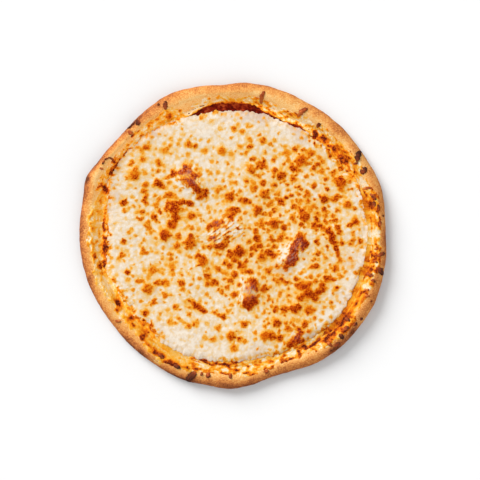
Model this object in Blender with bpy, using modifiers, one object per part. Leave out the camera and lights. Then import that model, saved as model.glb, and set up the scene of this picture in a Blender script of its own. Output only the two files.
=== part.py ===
"""A whole cheese pizza, uncut, as it comes out of the oven.

Three layers, each a solid of its own: the dough with its raised, uneven rim and the burnt shreds of
cheese that are baked onto it, a thin layer of tomato sauce that shows where the cheese stops short,
and the sheet of melted cheese with its blisters. Metres, +Z up, lying on z = 0, with the middle of
its box over the origin. Bearings are in degrees, counter-clockwise from +X, seen from above.
"""

import math

import bmesh
import bpy

MM = 0.001

# Driving dimensions of the section, from the middle outwards
DOUGH_RADIUS = 179.2 * MM
FOOT_RADIUS = 155.3 * MM
CHEESE_RADIUS = 148.1 * MM
FLOOR_HEIGHT = 4.5 * MM
RIM_HEIGHT = 17.0 * MM
WIDEST_HEIGHT = 7.0 * MM
CREST_PLACE = 0.55
BASE_PLACE = 0.72
SLOPE_POWER = 1.4

SAUCE_THICKNESS = 1.1 * MM
CHEESE_THICKNESS = 2.8 * MM
CHEESE_EDGE_THICKNESS = 0.9 * MM
CHEESE_EDGE_WIDTH = 9.0 * MM
GAP = 0.3 * MM
EDGE_GAP = 0.8 * MM

# Fineness of the meshes
TURN_STEPS = 150
SLOPE_STEPS = 6
WALL_STEPS = 4
UNDER_STEPS = 3
CHEESE_CELLS = 44
SHRED_SIDES = 8
SHRED_RINGS = 5

# Hand-pulled dough is never round: lobes and dents as (bearing, half width in degrees, height in mm)
OUTLINE_LOBES = (
    (2, 7, -1.8),
    (20, 7, 2.0),
    (60, 7, -1.2),
    (94, 5, -2.6),
    (114, 7, 2.0),
    (138, 10, -3.5),
    (158, 5, 4.7),
    (224, 30, -6.0),
    (260, 5, -2.4),
    (288, 14, -9.4),
    (334, 14, 2.5),
)
FOOT_LOBES = (
    (20, 20, 2.0),
    (66, 10, -5.0),
    (116, 10, -3.0),
    (150, 14, 4.8),
    (176, 10, -3.3),
    (204, 7, -2.7),
    (222, 10, -4.8),
    (252, 45, -6.0),
    (292, 12, -5.5),
)
RIM_LOBES = (
    (20, 25, 1.5),
    (75, 20, 1.0),
    (115, 12, 1.5),
    (138, 10, -1.5),
    (158, 12, 2.0),
    (222, 25, -1.5),
    (288, 16, -3.0),
    (335, 20, 2.0),
)
CHEESE_LOBES = (
    (4, 30, 7.3),
    (28, 5, 4.6),
    (70, 10, -2.4),
    (114, 5, 2.0),
    (144, 20, 8.0),
    (156, 5, 2.6),
    (182, 7, -2.2),
    (196, 5, 3.2),
    (214, 5, -2.5),
    (226, 5, -6.4),
    (280, 20, -3.0),
    (322, 10, 4.0),
)

# Large torn blisters in the cheese: x, y, length, width, height in mm, and the bearing of the length
BLISTERS = (
    (-49, 61, 40, 20, 3.2, -39),
    (-8, 4, 46, 28, 2.4, 35),
    (68, -19, 44, 22, 3.8, 54),
    (19, -66, 36, 20, 3.4, 77),
)
# Browned bubbles that stand out from a step away: x, y, radius, height in mm
BUBBLES = (
    (-114, 73, 8, 1.2),
    (-87, 62, 5, 1.0),
    (-67, 30, 9, 1.6),
    (-79, -1, 8, 2.0),
    (-50, -8, 9, 1.5),
    (6, -18, 9, 1.8),
    (21, 77, 7, 1.3),
    (52, 73, 8, 1.4),
    (80, 87, 8, 1.6),
    (36, 48, 6, 1.4),
    (29, 30, 6, 1.2),
    (48, 15, 7, 1.5),
    (85, 24, 7, 1.3),
    (-13, 99, 7, 1.2),
    (127, 63, 7, 1.6),
    (106, 44, 7, 1.2),
    (134, 37, 7, 1.2),
    (115, 2, 9, 1.5),
    (34, -24, 8, 1.2),
    (-35, -30, 8, 1.3),
    (86, -66, 12, 2.0),
    (73, -83, 7, 1.3),
    (51, -100, 5, 1.4),
    (38, -116, 9, 1.4),
    (-2, -114, 6, 1.2),
    (-100, -61, 8, 1.2),
)
# Shreds of cheese that missed the middle and burnt onto the rim: bearing, distance from the middle,
# length and width in mm, and the lean from the outward direction in degrees
SHRED_THICKNESS = 2.2 * MM
SHRED_RISE = 0.2 * MM
RIM_SHREDS = (
    (78, 164.4, 15.0, 4.0, -2),
    (60.8, 164.8, 14.8, 4.5, -21),
    (52.4, 162.0, 5.5, 3.5, 0),
    (32.7, 172.0, 14.0, 5.0, 37),
    (26.7, 169.0, 9.0, 5.5, 24),
    (19.7, 164.7, 10.7, 3.0, -13),
    (15.8, 168.3, 10.0, 4.5, -65),
    (353, 172.0, 11.8, 4.2, 22),
    (346.8, 174.5, 13.0, 5.0, -30),
    (344.4, 163.9, 9.0, 4.0, -8),
    (338.2, 166.0, 6.5, 3.0, 20),
    (324.1, 163.5, 6.5, 3.8, 5),
    (321, 168.2, 8.0, 4.2, 60),
    (317.4, 170.0, 7.0, 4.6, -2),
    (284, 160.5, 5.5, 4.2, 0),
    (269, 161.0, 6.5, 3.4, 5),
    (259.9, 162.6, 6.5, 4.6, 0),
    (253.5, 168.0, 14.0, 7.0, -23),
    (246.6, 162.0, 10.0, 4.2, 75),
    (239, 161.0, 9.0, 4.2, 80),
    (216.4, 164.6, 7.0, 3.0, -30),
    (134.6, 168.5, 7.5, 4.0, 10),
    (129.8, 168.8, 7.5, 5.0, 60),
    (117.2, 169.5, 10.0, 4.2, -27),
)


def ring(radius, lobes, bearing):
    """The radius or height at a bearing: a plain value with smooth lobes added to it."""
    value = radius
    for centre, half_width, height in lobes:
        turn = (bearing - centre + 180.0) % 360.0 - 180.0
        value += height * MM * math.exp(-((turn / half_width) ** 2))
    return value


def outline_radius(bearing):
    return ring(DOUGH_RADIUS, OUTLINE_LOBES, bearing)


def foot_radius(bearing):
    return ring(FOOT_RADIUS, FOOT_LOBES, bearing)


def rim_height(bearing):
    return ring(RIM_HEIGHT, RIM_LOBES, bearing)


def cheese_radius(bearing):
    reach = ring(CHEESE_RADIUS, CHEESE_LOBES, bearing)
    return min(reach, foot_radius(bearing) - EDGE_GAP)


def box_middle():
    """The middle of the outline's box, which is put over the origin."""
    corners = [outline_radius(step) for step in range(360)]
    across = [radius * math.cos(math.radians(step)) for step, radius in enumerate(corners)]
    along = [radius * math.sin(math.radians(step)) for step, radius in enumerate(corners)]
    return (min(across) + max(across)) / 2.0, (min(along) + max(along)) / 2.0


MIDDLE = box_middle()


def polar(x, y):
    return math.hypot(x, y), math.degrees(math.atan2(y, x))


def flat_place(radius, bearing):
    """Where a radius and a bearing lie in the part's own frame."""
    angle = math.radians(bearing)
    return radius * math.cos(angle) - MIDDLE[0], radius * math.sin(angle) - MIDDLE[1]


def slope_height(share):
    """Height of the rim's inner slope, from its foot, 0, to the crest, 1."""
    return FLOOR_HEIGHT + (RIM_HEIGHT - FLOOR_HEIGHT) * math.sin(math.pi / 2.0 * share) ** SLOPE_POWER


def plain_section():
    """The dough's section before its lobes: floor, inner slope, crest, outer wall and base."""
    width = DOUGH_RADIUS - FOOT_RADIUS
    points = [(0.0, FLOOR_HEIGHT), (FOOT_RADIUS, FLOOR_HEIGHT)]
    for step in range(1, SLOPE_STEPS + 1):
        share = step / SLOPE_STEPS
        points.append((FOOT_RADIUS + width * CREST_PLACE * share, slope_height(share)))
    for step in range(1, WALL_STEPS + 1):
        angle = math.pi / 2.0 * step / WALL_STEPS
        place = CREST_PLACE + (1.0 - CREST_PLACE) * math.sin(angle)
        height = WIDEST_HEIGHT + (RIM_HEIGHT - WIDEST_HEIGHT) * math.cos(angle)
        points.append((FOOT_RADIUS + width * place, height))
    for step in range(1, UNDER_STEPS + 1):
        angle = math.pi / 2.0 * step / UNDER_STEPS
        place = 1.0 - (1.0 - BASE_PLACE) * (1.0 - math.cos(angle))
        points.append((FOOT_RADIUS + width * place, WIDEST_HEIGHT * (1.0 - math.sin(angle))))
    points.append((0.0, 0.0))
    return points


def shaped(radius, height, bearing):
    """Moves a point of the plain section to the dough's real width and height at its bearing."""
    foot = foot_radius(bearing)
    if radius <= FOOT_RADIUS:
        reach = radius * foot / FOOT_RADIUS
    else:
        stretch = (outline_radius(bearing) - foot) / (DOUGH_RADIUS - FOOT_RADIUS)
        reach = foot + (radius - FOOT_RADIUS) * stretch
    if height > FLOOR_HEIGHT:
        lift = (rim_height(bearing) - FLOOR_HEIGHT) / (RIM_HEIGHT - FLOOR_HEIGHT)
        height = FLOOR_HEIGHT + (height - FLOOR_HEIGHT) * lift
    return reach, height


def dough_top(radius, bearing):
    """Height of the dough's upper side at a real radius and bearing."""
    foot = foot_radius(bearing)
    if radius <= foot:
        return FLOOR_HEIGHT
    place = min((radius - foot) / (outline_radius(bearing) - foot), 1.0)
    if place < CREST_PLACE:
        height = slope_height(place / CREST_PLACE)
    else:
        across = (place - CREST_PLACE) / (1.0 - CREST_PLACE)
        height = WIDEST_HEIGHT + (RIM_HEIGHT - WIDEST_HEIGHT) * math.sqrt(1.0 - across * across)
    return shaped(radius, height, bearing)[1]


def new_object(name, mesh, material, collection):
    obj = bpy.data.objects.new(name, mesh)
    mesh.name = name
    mesh.materials.append(material)
    collection.objects.link(obj)
    return obj


def keep_modifiers(obj):
    """Turns what the object's modifiers make into its own mesh."""
    depsgraph = bpy.context.evaluated_depsgraph_get()
    mesh = bpy.data.meshes.new_from_object(obj.evaluated_get(depsgraph))
    obj.modifiers.clear()
    obj.data = mesh
    mesh.name = obj.name


def turned(name, profile, material, collection):
    """A solid of revolution; its profile runs from the axis over the top and down the outside."""
    mesh = bpy.data.meshes.new(name)
    points = [(radius, 0.0, height) for radius, height in profile]
    edges = [(step, step + 1) for step in range(len(points) - 1)]
    mesh.from_pydata(points, edges, [])
    obj = new_object(name, mesh, material, collection)
    screw = obj.modifiers.new("turn", "SCREW")
    screw.steps = TURN_STEPS
    screw.render_steps = TURN_STEPS
    screw.use_merge_vertices = True
    screw.merge_threshold = 0.00005
    keep_modifiers(obj)
    return obj


def finish(name, colour, roughness):
    material = bpy.data.materials.new(name)
    material.use_nodes = True
    shader = material.node_tree.nodes["Principled BSDF"]
    shader.inputs["Base Color"].default_value = (*colour, 1.0)
    shader.inputs["Roughness"].default_value = roughness
    shader.inputs["Metallic"].default_value = 0.0
    return material


def make_crust(collection):
    """The dough: a turned section, pulled out of round, with the burnt shreds fused on."""
    dough = finish("baked dough", (0.72, 0.36, 0.13), 0.7)
    crust = turned("crust", plain_section(), dough, collection)
    for vertex in crust.data.vertices:
        radius, bearing = polar(vertex.co.x, vertex.co.y)
        reach, height = shaped(radius, vertex.co.z, bearing)
        vertex.co = (*flat_place(reach, bearing), height)
    fuse(crust, make_shreds(dough))
    return crust


def make_shreds(material):
    """The shreds, each a flattened ellipsoid laid along the dough's surface."""
    shreds = bpy.data.collections.new("shreds")
    bpy.context.scene.collection.children.link(shreds)
    for number, (bearing, distance, length, width, lean) in enumerate(RIM_SHREDS):
        shape = bmesh.new()
        bmesh.ops.create_uvsphere(shape, u_segments=SHRED_SIDES, v_segments=SHRED_RINGS, radius=0.5)
        turn = math.radians(lean)
        for vertex in shape.verts:
            across = vertex.co.x * width * MM
            up = vertex.co.y * SHRED_THICKNESS + SHRED_RISE
            along = vertex.co.z * length * MM
            outward = along * math.cos(turn) - across * math.sin(turn)
            sideways = along * math.sin(turn) + across * math.cos(turn)
            radius = distance * MM + outward
            spot = bearing + math.degrees(sideways / radius)
            vertex.co = (*flat_place(radius, spot), dough_top(radius, spot) + up)
        bmesh.ops.recalc_face_normals(shape, faces=shape.faces)
        mesh = bpy.data.meshes.new("shred")
        shape.to_mesh(mesh)
        shape.free()
        new_object(f"shred_{number}", mesh, material, shreds)
    return shreds


def fuse(obj, pieces):
    """Joins a collection of small pieces to an object, then clears the collection away."""
    join = obj.modifiers.new("fuse", "BOOLEAN")
    join.operation = "UNION"
    join.solver = "EXACT"
    join.operand_type = "COLLECTION"
    join.collection = pieces
    keep_modifiers(obj)
    for piece in list(pieces.objects):
        bpy.data.objects.remove(piece)
    bpy.data.collections.remove(pieces)


def make_sauce(collection):
    """The sauce: a thin layer on the dough's floor that reaches the foot of the rim."""
    tomato = finish("tomato sauce", (0.22, 0.02, 0.01), 0.35)
    underside = FLOOR_HEIGHT + GAP
    top = underside + SAUCE_THICKNESS
    profile = [
        (0.0, top),
        (FOOT_RADIUS - 3.0 * SAUCE_THICKNESS, top),
        (FOOT_RADIUS - SAUCE_THICKNESS, top - 0.2 * SAUCE_THICKNESS),
        (FOOT_RADIUS, underside + 0.3 * SAUCE_THICKNESS),
        (FOOT_RADIUS, underside),
        (0.0, underside),
    ]
    sauce = turned("sauce", profile, tomato, collection)
    for vertex in sauce.data.vertices:
        radius, bearing = polar(vertex.co.x, vertex.co.y)
        reach = radius * (foot_radius(bearing) - GAP) / FOOT_RADIUS
        vertex.co = (*flat_place(reach, bearing), vertex.co.z)
    return sauce


def round_place(x, y):
    """Maps a square from -1 to 1 onto the unit disc, with cells of nearly equal area."""
    if x == 0.0 and y == 0.0:
        return 0.0, 0.0
    if abs(x) > abs(y):
        return abs(x), 45.0 * y / x + (180.0 if x < 0.0 else 0.0)
    return abs(y), 90.0 - 45.0 * x / y + (180.0 if y < 0.0 else 0.0)


def blister_height(x, y):
    """The large torn blisters: long domes, steeper on one side than on the other."""
    total = 0.0
    for middle_x, middle_y, length, width, height, bearing in BLISTERS:
        angle = math.radians(bearing)
        dx, dy = x / MM - middle_x, y / MM - middle_y
        along = (dx * math.cos(angle) + dy * math.sin(angle)) / (0.5 * length)
        across = (dy * math.cos(angle) - dx * math.sin(angle)) / (0.5 * width)
        total += height * MM * math.exp(-(along**4) - across**2)
    return total


def bubble_height(x, y):
    total = 0.0
    for middle_x, middle_y, radius, height in BUBBLES:
        away = math.hypot(x / MM - middle_x, y / MM - middle_y) / radius
        total += height * MM * math.exp(-(away**2))
    return total


def wave_height(x, y):
    """The gentle unevenness of cheese that flowed and set."""
    east, north = x / MM, y / MM
    waves = 0.35 * math.sin(east / 11.0 + 0.6 * math.sin(north / 17.0))
    waves += 0.3 * math.sin(north / 9.0 + 0.8 * math.sin(east / 14.0) + 1.0)
    return waves * MM


def make_cheese(collection):
    """The melted cheese: a disc of even cells with its relief on top and a flat underside."""
    melted = finish("melted cheese", (0.84, 0.56, 0.26), 0.45)
    underside = FLOOR_HEIGHT + SAUCE_THICKNESS + 2.0 * GAP
    shape = bmesh.new()
    bmesh.ops.create_grid(shape, x_segments=CHEESE_CELLS, y_segments=CHEESE_CELLS, size=1.0)
    for vertex in shape.verts:
        share, bearing = round_place(vertex.co.x, vertex.co.y)
        edge = cheese_radius(bearing)
        x, y = flat_place(share * edge, bearing)
        inside = min((1.0 - share) * edge / CHEESE_EDGE_WIDTH, 1.0)
        swell = math.sin(math.pi / 2.0 * inside)
        relief = blister_height(x, y) + bubble_height(x, y) + wave_height(x, y)
        full = CHEESE_THICKNESS - CHEESE_EDGE_THICKNESS + relief
        vertex.co = (x, y, underside + CHEESE_EDGE_THICKNESS + full * swell)
    rim = [edge for edge in shape.edges if edge.is_boundary]
    skirt = bmesh.ops.extrude_edge_only(shape, edges=rim)["geom"]
    for vertex in [piece for piece in skirt if isinstance(piece, bmesh.types.BMVert)]:
        vertex.co.z = underside
    bmesh.ops.holes_fill(shape, edges=[edge for edge in shape.edges if edge.is_boundary], sides=0)
    bmesh.ops.recalc_face_normals(shape, faces=shape.faces)
    mesh = bpy.data.meshes.new("cheese")
    shape.to_mesh(mesh)
    shape.free()
    return new_object("cheese", mesh, melted, collection)


def main():
    for obj in list(bpy.data.objects):
        bpy.data.objects.remove(obj)
    pizza = bpy.data.collections.new("pizza")
    bpy.context.scene.collection.children.link(pizza)
    for piece in (make_crust(pizza), make_sauce(pizza), make_cheese(pizza)):
        piece.data.shade_smooth()


main()
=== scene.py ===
# %% [markdown]
# # A whole cheese pizza
#
# The object is a baked pizza, whole and uncut, seen from straight above. It is made of a few layers:
# the dough with its raised rim, a thin film of tomato sauce, the sheet of melted cheese, the fried
# lace of cheese and oil that crept up the rim, and the shreds of cheese that burnt onto it.
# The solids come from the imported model. They fix every size, and the pieces here replace them with
# finer skins of the same form.

import math
import random

import bmesh
import bpy
import numpy as np
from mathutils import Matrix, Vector, noise


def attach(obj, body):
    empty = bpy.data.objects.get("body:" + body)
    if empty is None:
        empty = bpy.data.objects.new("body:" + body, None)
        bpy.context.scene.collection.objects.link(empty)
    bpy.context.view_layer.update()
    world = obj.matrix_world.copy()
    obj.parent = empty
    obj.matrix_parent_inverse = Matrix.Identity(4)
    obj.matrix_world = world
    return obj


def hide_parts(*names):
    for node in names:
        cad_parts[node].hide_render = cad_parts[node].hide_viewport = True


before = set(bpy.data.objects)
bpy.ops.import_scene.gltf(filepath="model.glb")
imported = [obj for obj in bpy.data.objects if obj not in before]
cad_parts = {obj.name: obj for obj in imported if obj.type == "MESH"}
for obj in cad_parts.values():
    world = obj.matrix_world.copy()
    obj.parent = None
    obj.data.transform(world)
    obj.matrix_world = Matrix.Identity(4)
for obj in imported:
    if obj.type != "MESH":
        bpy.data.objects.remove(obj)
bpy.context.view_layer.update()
MM = 0.001

# %% [markdown]
# ## How round is a hand-pulled pizza?
#
# Nothing here is a true circle. A radius that changes with the bearing is written as a plain radius
# with a few smooth lobes added: each lobe is a bearing, a half width in degrees and a height in
# millimetres. Four such rings give the form: the outline, the foot of the rim's inner slope, the
# height of its crest, and the edge of the cheese. The same lobes, as shares, say further down where
# the sauce shows and how the cheese ends. Bearings run counter-clockwise from +X.

# %% The rings, in the solids' own sizes
DOUGH_RADIUS = 179.2 * MM
FOOT_RADIUS = 155.3 * MM
CHEESE_RADIUS = 148.1 * MM
FLOOR_HEIGHT = 4.5 * MM
RIM_HEIGHT = 17.0 * MM
WIDEST_HEIGHT = 7.0 * MM
CREST_PLACE = 0.55
BASE_PLACE = 0.72
SLOPE_POWER = 1.4
EDGE_GAP = 0.8 * MM
print("plain radius and rim height in mm:", round(DOUGH_RADIUS / MM, 1), round(RIM_HEIGHT / MM, 1))

# %% The lobes of each ring
OUTLINE_LOBES = (
    (2, 7, -1.8),
    (20, 7, 2.0),
    (60, 7, -1.2),
    (94, 5, -2.6),
    (114, 7, 2.0),
    (138, 10, -3.5),
    (158, 5, 4.7),
    (224, 30, -6.0),
    (260, 5, -2.4),
    (288, 14, -9.4),
    (334, 14, 2.5),
)
FOOT_LOBES = (
    (20, 20, 2.0),
    (66, 10, -5.0),
    (116, 10, -3.0),
    (150, 14, 4.8),
    (176, 10, -3.3),
    (204, 7, -2.7),
    (222, 10, -4.8),
    (252, 45, -6.0),
    (292, 12, -5.5),
)
RIM_LOBES = (
    (20, 25, 1.5),
    (75, 20, 1.0),
    (115, 12, 1.5),
    (138, 10, -1.5),
    (158, 12, 2.0),
    (222, 25, -1.5),
    (288, 16, -3.0),
    (335, 20, 2.0),
)
CHEESE_LOBES = (
    (4, 30, 7.3),
    (23, 6, 4.6),
    (70, 10, -2.4),
    (92, 13, -2.2),
    (114, 5, 1.2),
    (126, 8, 3.0),
    (144, 18, 8.5),
    (156, 5, 2.6),
    (182, 7, -2.2),
    (195, 4, 4.6),
    (214, 5, -2.5),
    (226, 5, -6.4),
    (280, 20, -3.0),
    (322, 10, 4.0),
)
print("lobes on the outline:", len(OUTLINE_LOBES), "and on the cheese:", len(CHEESE_LOBES))

# %% Read the rings
def lobes_at(lobes, bearing):
    """The sum of smooth lobes at each bearing, in the lobes' own unit."""
    total = np.zeros_like(np.asarray(bearing, float))
    for centre, half_width, height in lobes:
        turn = (bearing - centre + 180.0) % 360.0 - 180.0
        total += height * np.exp(-((turn / half_width) ** 2))
    return total


def outline_radius(bearing):
    return DOUGH_RADIUS + MM * lobes_at(OUTLINE_LOBES, bearing)


def foot_radius(bearing):
    return FOOT_RADIUS + MM * lobes_at(FOOT_LOBES, bearing)


def rim_height(bearing):
    return RIM_HEIGHT + MM * lobes_at(RIM_LOBES, bearing)


def cheese_radius(bearing):
    reach = CHEESE_RADIUS + MM * lobes_at(CHEESE_LOBES, bearing)
    return np.minimum(reach, foot_radius(bearing) - EDGE_GAP)


degrees = np.arange(360.0)
outline_x = outline_radius(degrees) * np.cos(np.radians(degrees))
outline_y = outline_radius(degrees) * np.sin(np.radians(degrees))
MIDDLE_X = (outline_x.min() + outline_x.max()) / 2.0
MIDDLE_Y = (outline_y.min() + outline_y.max()) / 2.0
outline_size = np.ptp((outline_x, outline_y), axis=1)
print("outline in mm:", np.round(outline_size / MM, 1).tolist())

# %% [markdown]
# ## The section of the dough
#
# The dough's section is a flat floor, an inner slope that swells up from its foot, a crest, a round
# outer wall and a flat base. Written once as formulas, it serves twice: turned about the middle it
# makes the dough, and asked for its height at a point it lays cheese and shreds on the dough.

# %% Section and height
def slope_height(share):
    """Height of the plain inner slope from its foot, 0, to the crest, 1."""
    swell = np.sin(math.pi / 2.0 * np.asarray(share, float)) ** SLOPE_POWER
    return FLOOR_HEIGHT + (RIM_HEIGHT - FLOOR_HEIGHT) * swell


def lifted(height, bearing):
    """Stretches what is above the floor to the rim's height at its bearing."""
    lift = (rim_height(bearing) - FLOOR_HEIGHT) / (RIM_HEIGHT - FLOOR_HEIGHT)
    return np.where(height > FLOOR_HEIGHT, FLOOR_HEIGHT + (height - FLOOR_HEIGHT) * lift, height)


def dough_top(radius, bearing):
    """Height of the dough's upper side at a real radius and bearing."""
    foot = foot_radius(bearing)
    place = np.clip((radius - foot) / (outline_radius(bearing) - foot), 0.0, 1.0)
    inner = slope_height(np.minimum(place / CREST_PLACE, 1.0))
    across = np.clip((place - CREST_PLACE) / (1.0 - CREST_PLACE), 0.0, 1.0)
    outer = WIDEST_HEIGHT + (RIM_HEIGHT - WIDEST_HEIGHT) * np.sqrt(1.0 - across**2)
    return lifted(np.where(place < CREST_PLACE, inner, outer), bearing)


def to_frame(radius, bearing, height):
    """Rows of x, y, z in the solids' frame."""
    angle = np.radians(bearing)
    x = radius * np.cos(angle) - MIDDLE_X
    y = radius * np.sin(angle) - MIDDLE_Y
    return np.column_stack((x, y, height))


slope_steps = slope_height(np.linspace(0.0, 1.0, 5))
print("inner slope, heights in mm:", np.round(slope_steps / MM, 1).tolist())

# %% [markdown]
# ## Small tools
#
# Three habits keep the rest short. A bmesh is turned into a mesh once its form is made; its points
# are then moved all together as one numpy array; and what the material needs to know about a point,
# such as how baked it is, is stored in a named attribute.

# %% Points and attributes
STORED = np.float32


def points_of(mesh):
    flat = np.empty(3 * len(mesh.vertices), STORED)
    mesh.vertices.foreach_get("co", flat)
    return flat.reshape(-1, 3).astype(float)


def put_points(mesh, points):
    mesh.vertices.foreach_set("co", points.astype(STORED).ravel())
    mesh.update()


def values_of(mesh, name):
    values = np.empty(len(mesh.vertices), STORED)
    mesh.attributes[name].data.foreach_get("value", values)
    return values.astype(float)


def store(mesh, name, values):
    attribute = mesh.attributes.get(name) or mesh.attributes.new(name, "FLOAT", "POINT")
    attribute.data.foreach_set("value", np.asarray(values, STORED))


def normals_of(mesh):
    flat = np.empty(3 * len(mesh.vertices), STORED)
    mesh.vertex_normals.foreach_get("vector", flat)
    return flat.reshape(-1, 3).astype(float)


print("a point's numbers are stored as", np.dtype(STORED).name)

# %% [markdown]
# Rough detail is Perlin noise, which gives the same values on every run. A smooth step turns a
# value into a share that eases from 0 to 1 between two limits.

# %% Roughness and smooth steps
def roughness(points, size, shift, octaves=3):
    """Perlin noise, about -1 to 1, whose features are as large as size."""
    offset = Vector((shift, 2.0 * shift, -shift))
    rows = (points / size).tolist()
    return np.array([noise.fractal(Vector(row) + offset, 1.0, 2.0, octaves) for row in rows])


def smooth_step(values, low, high):
    share = np.clip((values - low) / (high - low), 0.0, 1.0)
    return share * share * (3.0 - 2.0 * share)


print("roughness at the middle:", round(float(roughness(np.zeros((1, 3)), MM, 3.0)[0]), 3))

# %% [markdown]
# A turned piece starts as a flat grid. One side of the grid follows the profile and the other goes
# once around, so each point can carry a mark from the profile. The points that meet at the seam and
# at the middle are then merged.

# %% Pieces and turned pieces
MERGE_DISTANCE = 0.001 * MM


def piece_of(shape, name):
    """Ends a bmesh: its faces are turned outwards and it becomes a smooth object."""
    bmesh.ops.recalc_face_normals(shape, faces=shape.faces)
    mesh = bpy.data.meshes.new(name)
    shape.to_mesh(mesh)
    shape.free()
    mesh.shade_smooth()
    piece = bpy.data.objects.new(name, mesh)
    bpy.context.scene.collection.objects.link(piece)
    return piece


def turned(name, profile, steps):
    """Turns a profile of (radius, height, mark) about the middle and keeps the mark as an attribute."""
    shape = bmesh.new()
    mark = shape.verts.layers.float.new("mark")
    last = len(profile) - 1
    bmesh.ops.create_grid(shape, x_segments=steps, y_segments=last, size=1.0)
    for vertex in shape.verts:
        angle = (vertex.co.x + 1.0) * math.pi
        radius, height, value = profile[round((vertex.co.y + 1.0) / 2.0 * last)]
        vertex.co = (radius * math.cos(angle), radius * math.sin(angle), height)
        vertex[mark] = value
    bmesh.ops.remove_doubles(shape, verts=shape.verts, dist=MERGE_DISTANCE)
    return piece_of(shape, name)


def report(piece):
    """Prints a piece's size and its number of triangles."""
    mesh = piece.data
    mesh.calc_loop_triangles()
    size = np.ptp(points_of(mesh), axis=0) / MM
    print(piece.name, "is", np.round(size, 1).tolist(), "mm with", len(mesh.loop_triangles), "triangles")


print("a turned piece merges points closer than", MERGE_DISTANCE / MM, "mm")

# %% [markdown]
# ## The dough
#
# The rim is what the eye reads as bread: full, a little lumpy, smooth where it swelled. A dense
# profile is turned in small steps, pulled out to the rings, and then each point moves along its own
# normal by noise in three sizes: slow lumps, finger-sized dents and a fine skin. The mark runs from
# 0 at the rim's foot over the crest at 0.4 to 1 at the base, and tells the material where it is.

# %% The dough's profile
CRUST_STEPS = 1200
CREST_MARK = 0.4
WIDEST_MARK = 0.75
SLOPE_POINTS = 16
WALL_POINTS = 15
UNDER_POINTS = 8


def dough_profile():
    """Radius, height and mark, from the middle over the rim and back under it."""
    width = DOUGH_RADIUS - FOOT_RADIUS
    points = [(FOOT_RADIUS * share, FLOOR_HEIGHT, 0.0) for share in (0.0, 0.9, 1.0)]
    for step in range(1, SLOPE_POINTS + 1):
        share = step / SLOPE_POINTS
        radius = FOOT_RADIUS + width * CREST_PLACE * share
        points.append((radius, float(slope_height(share)), CREST_MARK * share))
    for step in range(1, WALL_POINTS + 1):
        share = step / WALL_POINTS
        angle = math.pi / 2.0 * share
        place = CREST_PLACE + (1.0 - CREST_PLACE) * math.sin(angle)
        height = WIDEST_HEIGHT + (RIM_HEIGHT - WIDEST_HEIGHT) * math.cos(angle)
        mark = CREST_MARK + (WIDEST_MARK - CREST_MARK) * share
        points.append((FOOT_RADIUS + width * place, height, mark))
    for step in range(1, UNDER_POINTS + 1):
        share = step / UNDER_POINTS
        angle = math.pi / 2.0 * share
        place = 1.0 - (1.0 - BASE_PLACE) * (1.0 - math.cos(angle))
        height = WIDEST_HEIGHT * (1.0 - math.sin(angle))
        mark = WIDEST_MARK + (1.0 - WIDEST_MARK) * share
        points.append((FOOT_RADIUS + width * place, height, mark))
    base_edge = FOOT_RADIUS + width * BASE_PLACE
    points += [(base_edge * share, 0.0, 1.0) for share in (0.97, 0.9, 0.75, 0.5, 0.25)]
    points.append((0.0, 0.0, 1.0))
    return points


print("points on the profile:", len(dough_profile()))

# %% Turn the dough and pull it to the rings
crust = turned("pizza_crust", dough_profile(), CRUST_STEPS)
plain = points_of(crust.data)
plain_radius = np.hypot(plain[:, 0], plain[:, 1])
crust_bearing = np.degrees(np.arctan2(plain[:, 1], plain[:, 0]))
crust_mark = values_of(crust.data, "mark")

foot = foot_radius(crust_bearing)
stretch = (outline_radius(crust_bearing) - foot) / (DOUGH_RADIUS - FOOT_RADIUS)
inside = plain_radius * foot / FOOT_RADIUS
beyond = foot + (plain_radius - FOOT_RADIUS) * stretch
crust_radius = np.where(plain_radius <= FOOT_RADIUS, inside, beyond)
dough_points = to_frame(crust_radius, crust_bearing, lifted(plain[:, 2], crust_bearing))
put_points(crust.data, dough_points)
report(crust)

# %% Lumps, dents and skin
# Heights in mm; the whole is sunk a little, because lumps swell past the ring
LUMP_HEIGHT = 0.75
DENT_HEIGHT = 0.3
SKIN_HEIGHT = 0.08
LUMP_SINK = 0.25

on_rim = smooth_step(crust_mark, 0.02, 0.15) * (1.0 - smooth_step(crust_mark, 0.85, 0.98))
lumps = LUMP_HEIGHT * roughness(dough_points, 26 * MM, 3.0, 2)
dents = DENT_HEIGHT * roughness(dough_points, 8 * MM, 11.0, 3)
skin = SKIN_HEIGHT * roughness(dough_points, 2.2 * MM, 23.0, 2)
push = (lumps + dents + skin - LUMP_SINK) * MM * on_rim
dough_points = dough_points + normals_of(crust.data) * push[:, None]
dough_points[:, 2] = np.maximum(dough_points[:, 2], 0.0)
put_points(crust.data, dough_points)
report(crust)

# %% [markdown]
# ## How baked is each point of the dough?
#
# The oven browns what faces the heat: the outer wall most and the top of the crest less. The inner
# side of the crest is palest, as a painted highlight along the crest. The photo also shows one side
# of the pizza darker than the other. All of it is summed into one attribute, from 0, raw cream, to 1,
# nearly black, with painted light on the outer wall. A few scorched places are added one by one.
# Painting each point would do as well, but sums of smooth lobes can be read and changed.

# %% Where the dough is darker and paler
# From the rim's foot, 0, to the base, 1: how baked; the pale stretch 0.2 to 0.32 is a painted highlight
BAKE_AND_HIGHLIGHT_ALONG = (
    (0.0, 0.2),
    (0.2, 0.12),
    (0.32, 0.12),
    (0.4, 0.22),
    (0.46, 0.34),
    (0.52, 0.46),
    (0.6, 0.56),
    (0.75, 0.64),
    (0.88, 0.6),
    (1.0, 0.4),
)
# Darker or paler stretches of the whole rim: bearing, half width, amount
BAKE_AROUND = (
    (15, 14, 0.07),
    (42, 14, 0.1),
    (72, 18, -0.06),
    (96, 12, 0.01),
    (128, 14, 0.16),
    (158, 10, -0.06),
    (185, 14, 0.08),
    (225, 16, 0.03),
    (255, 16, 0.05),
    (285, 17, 0.2),
    (315, 16, 0.12),
    (345, 14, 0.1),
)
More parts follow.
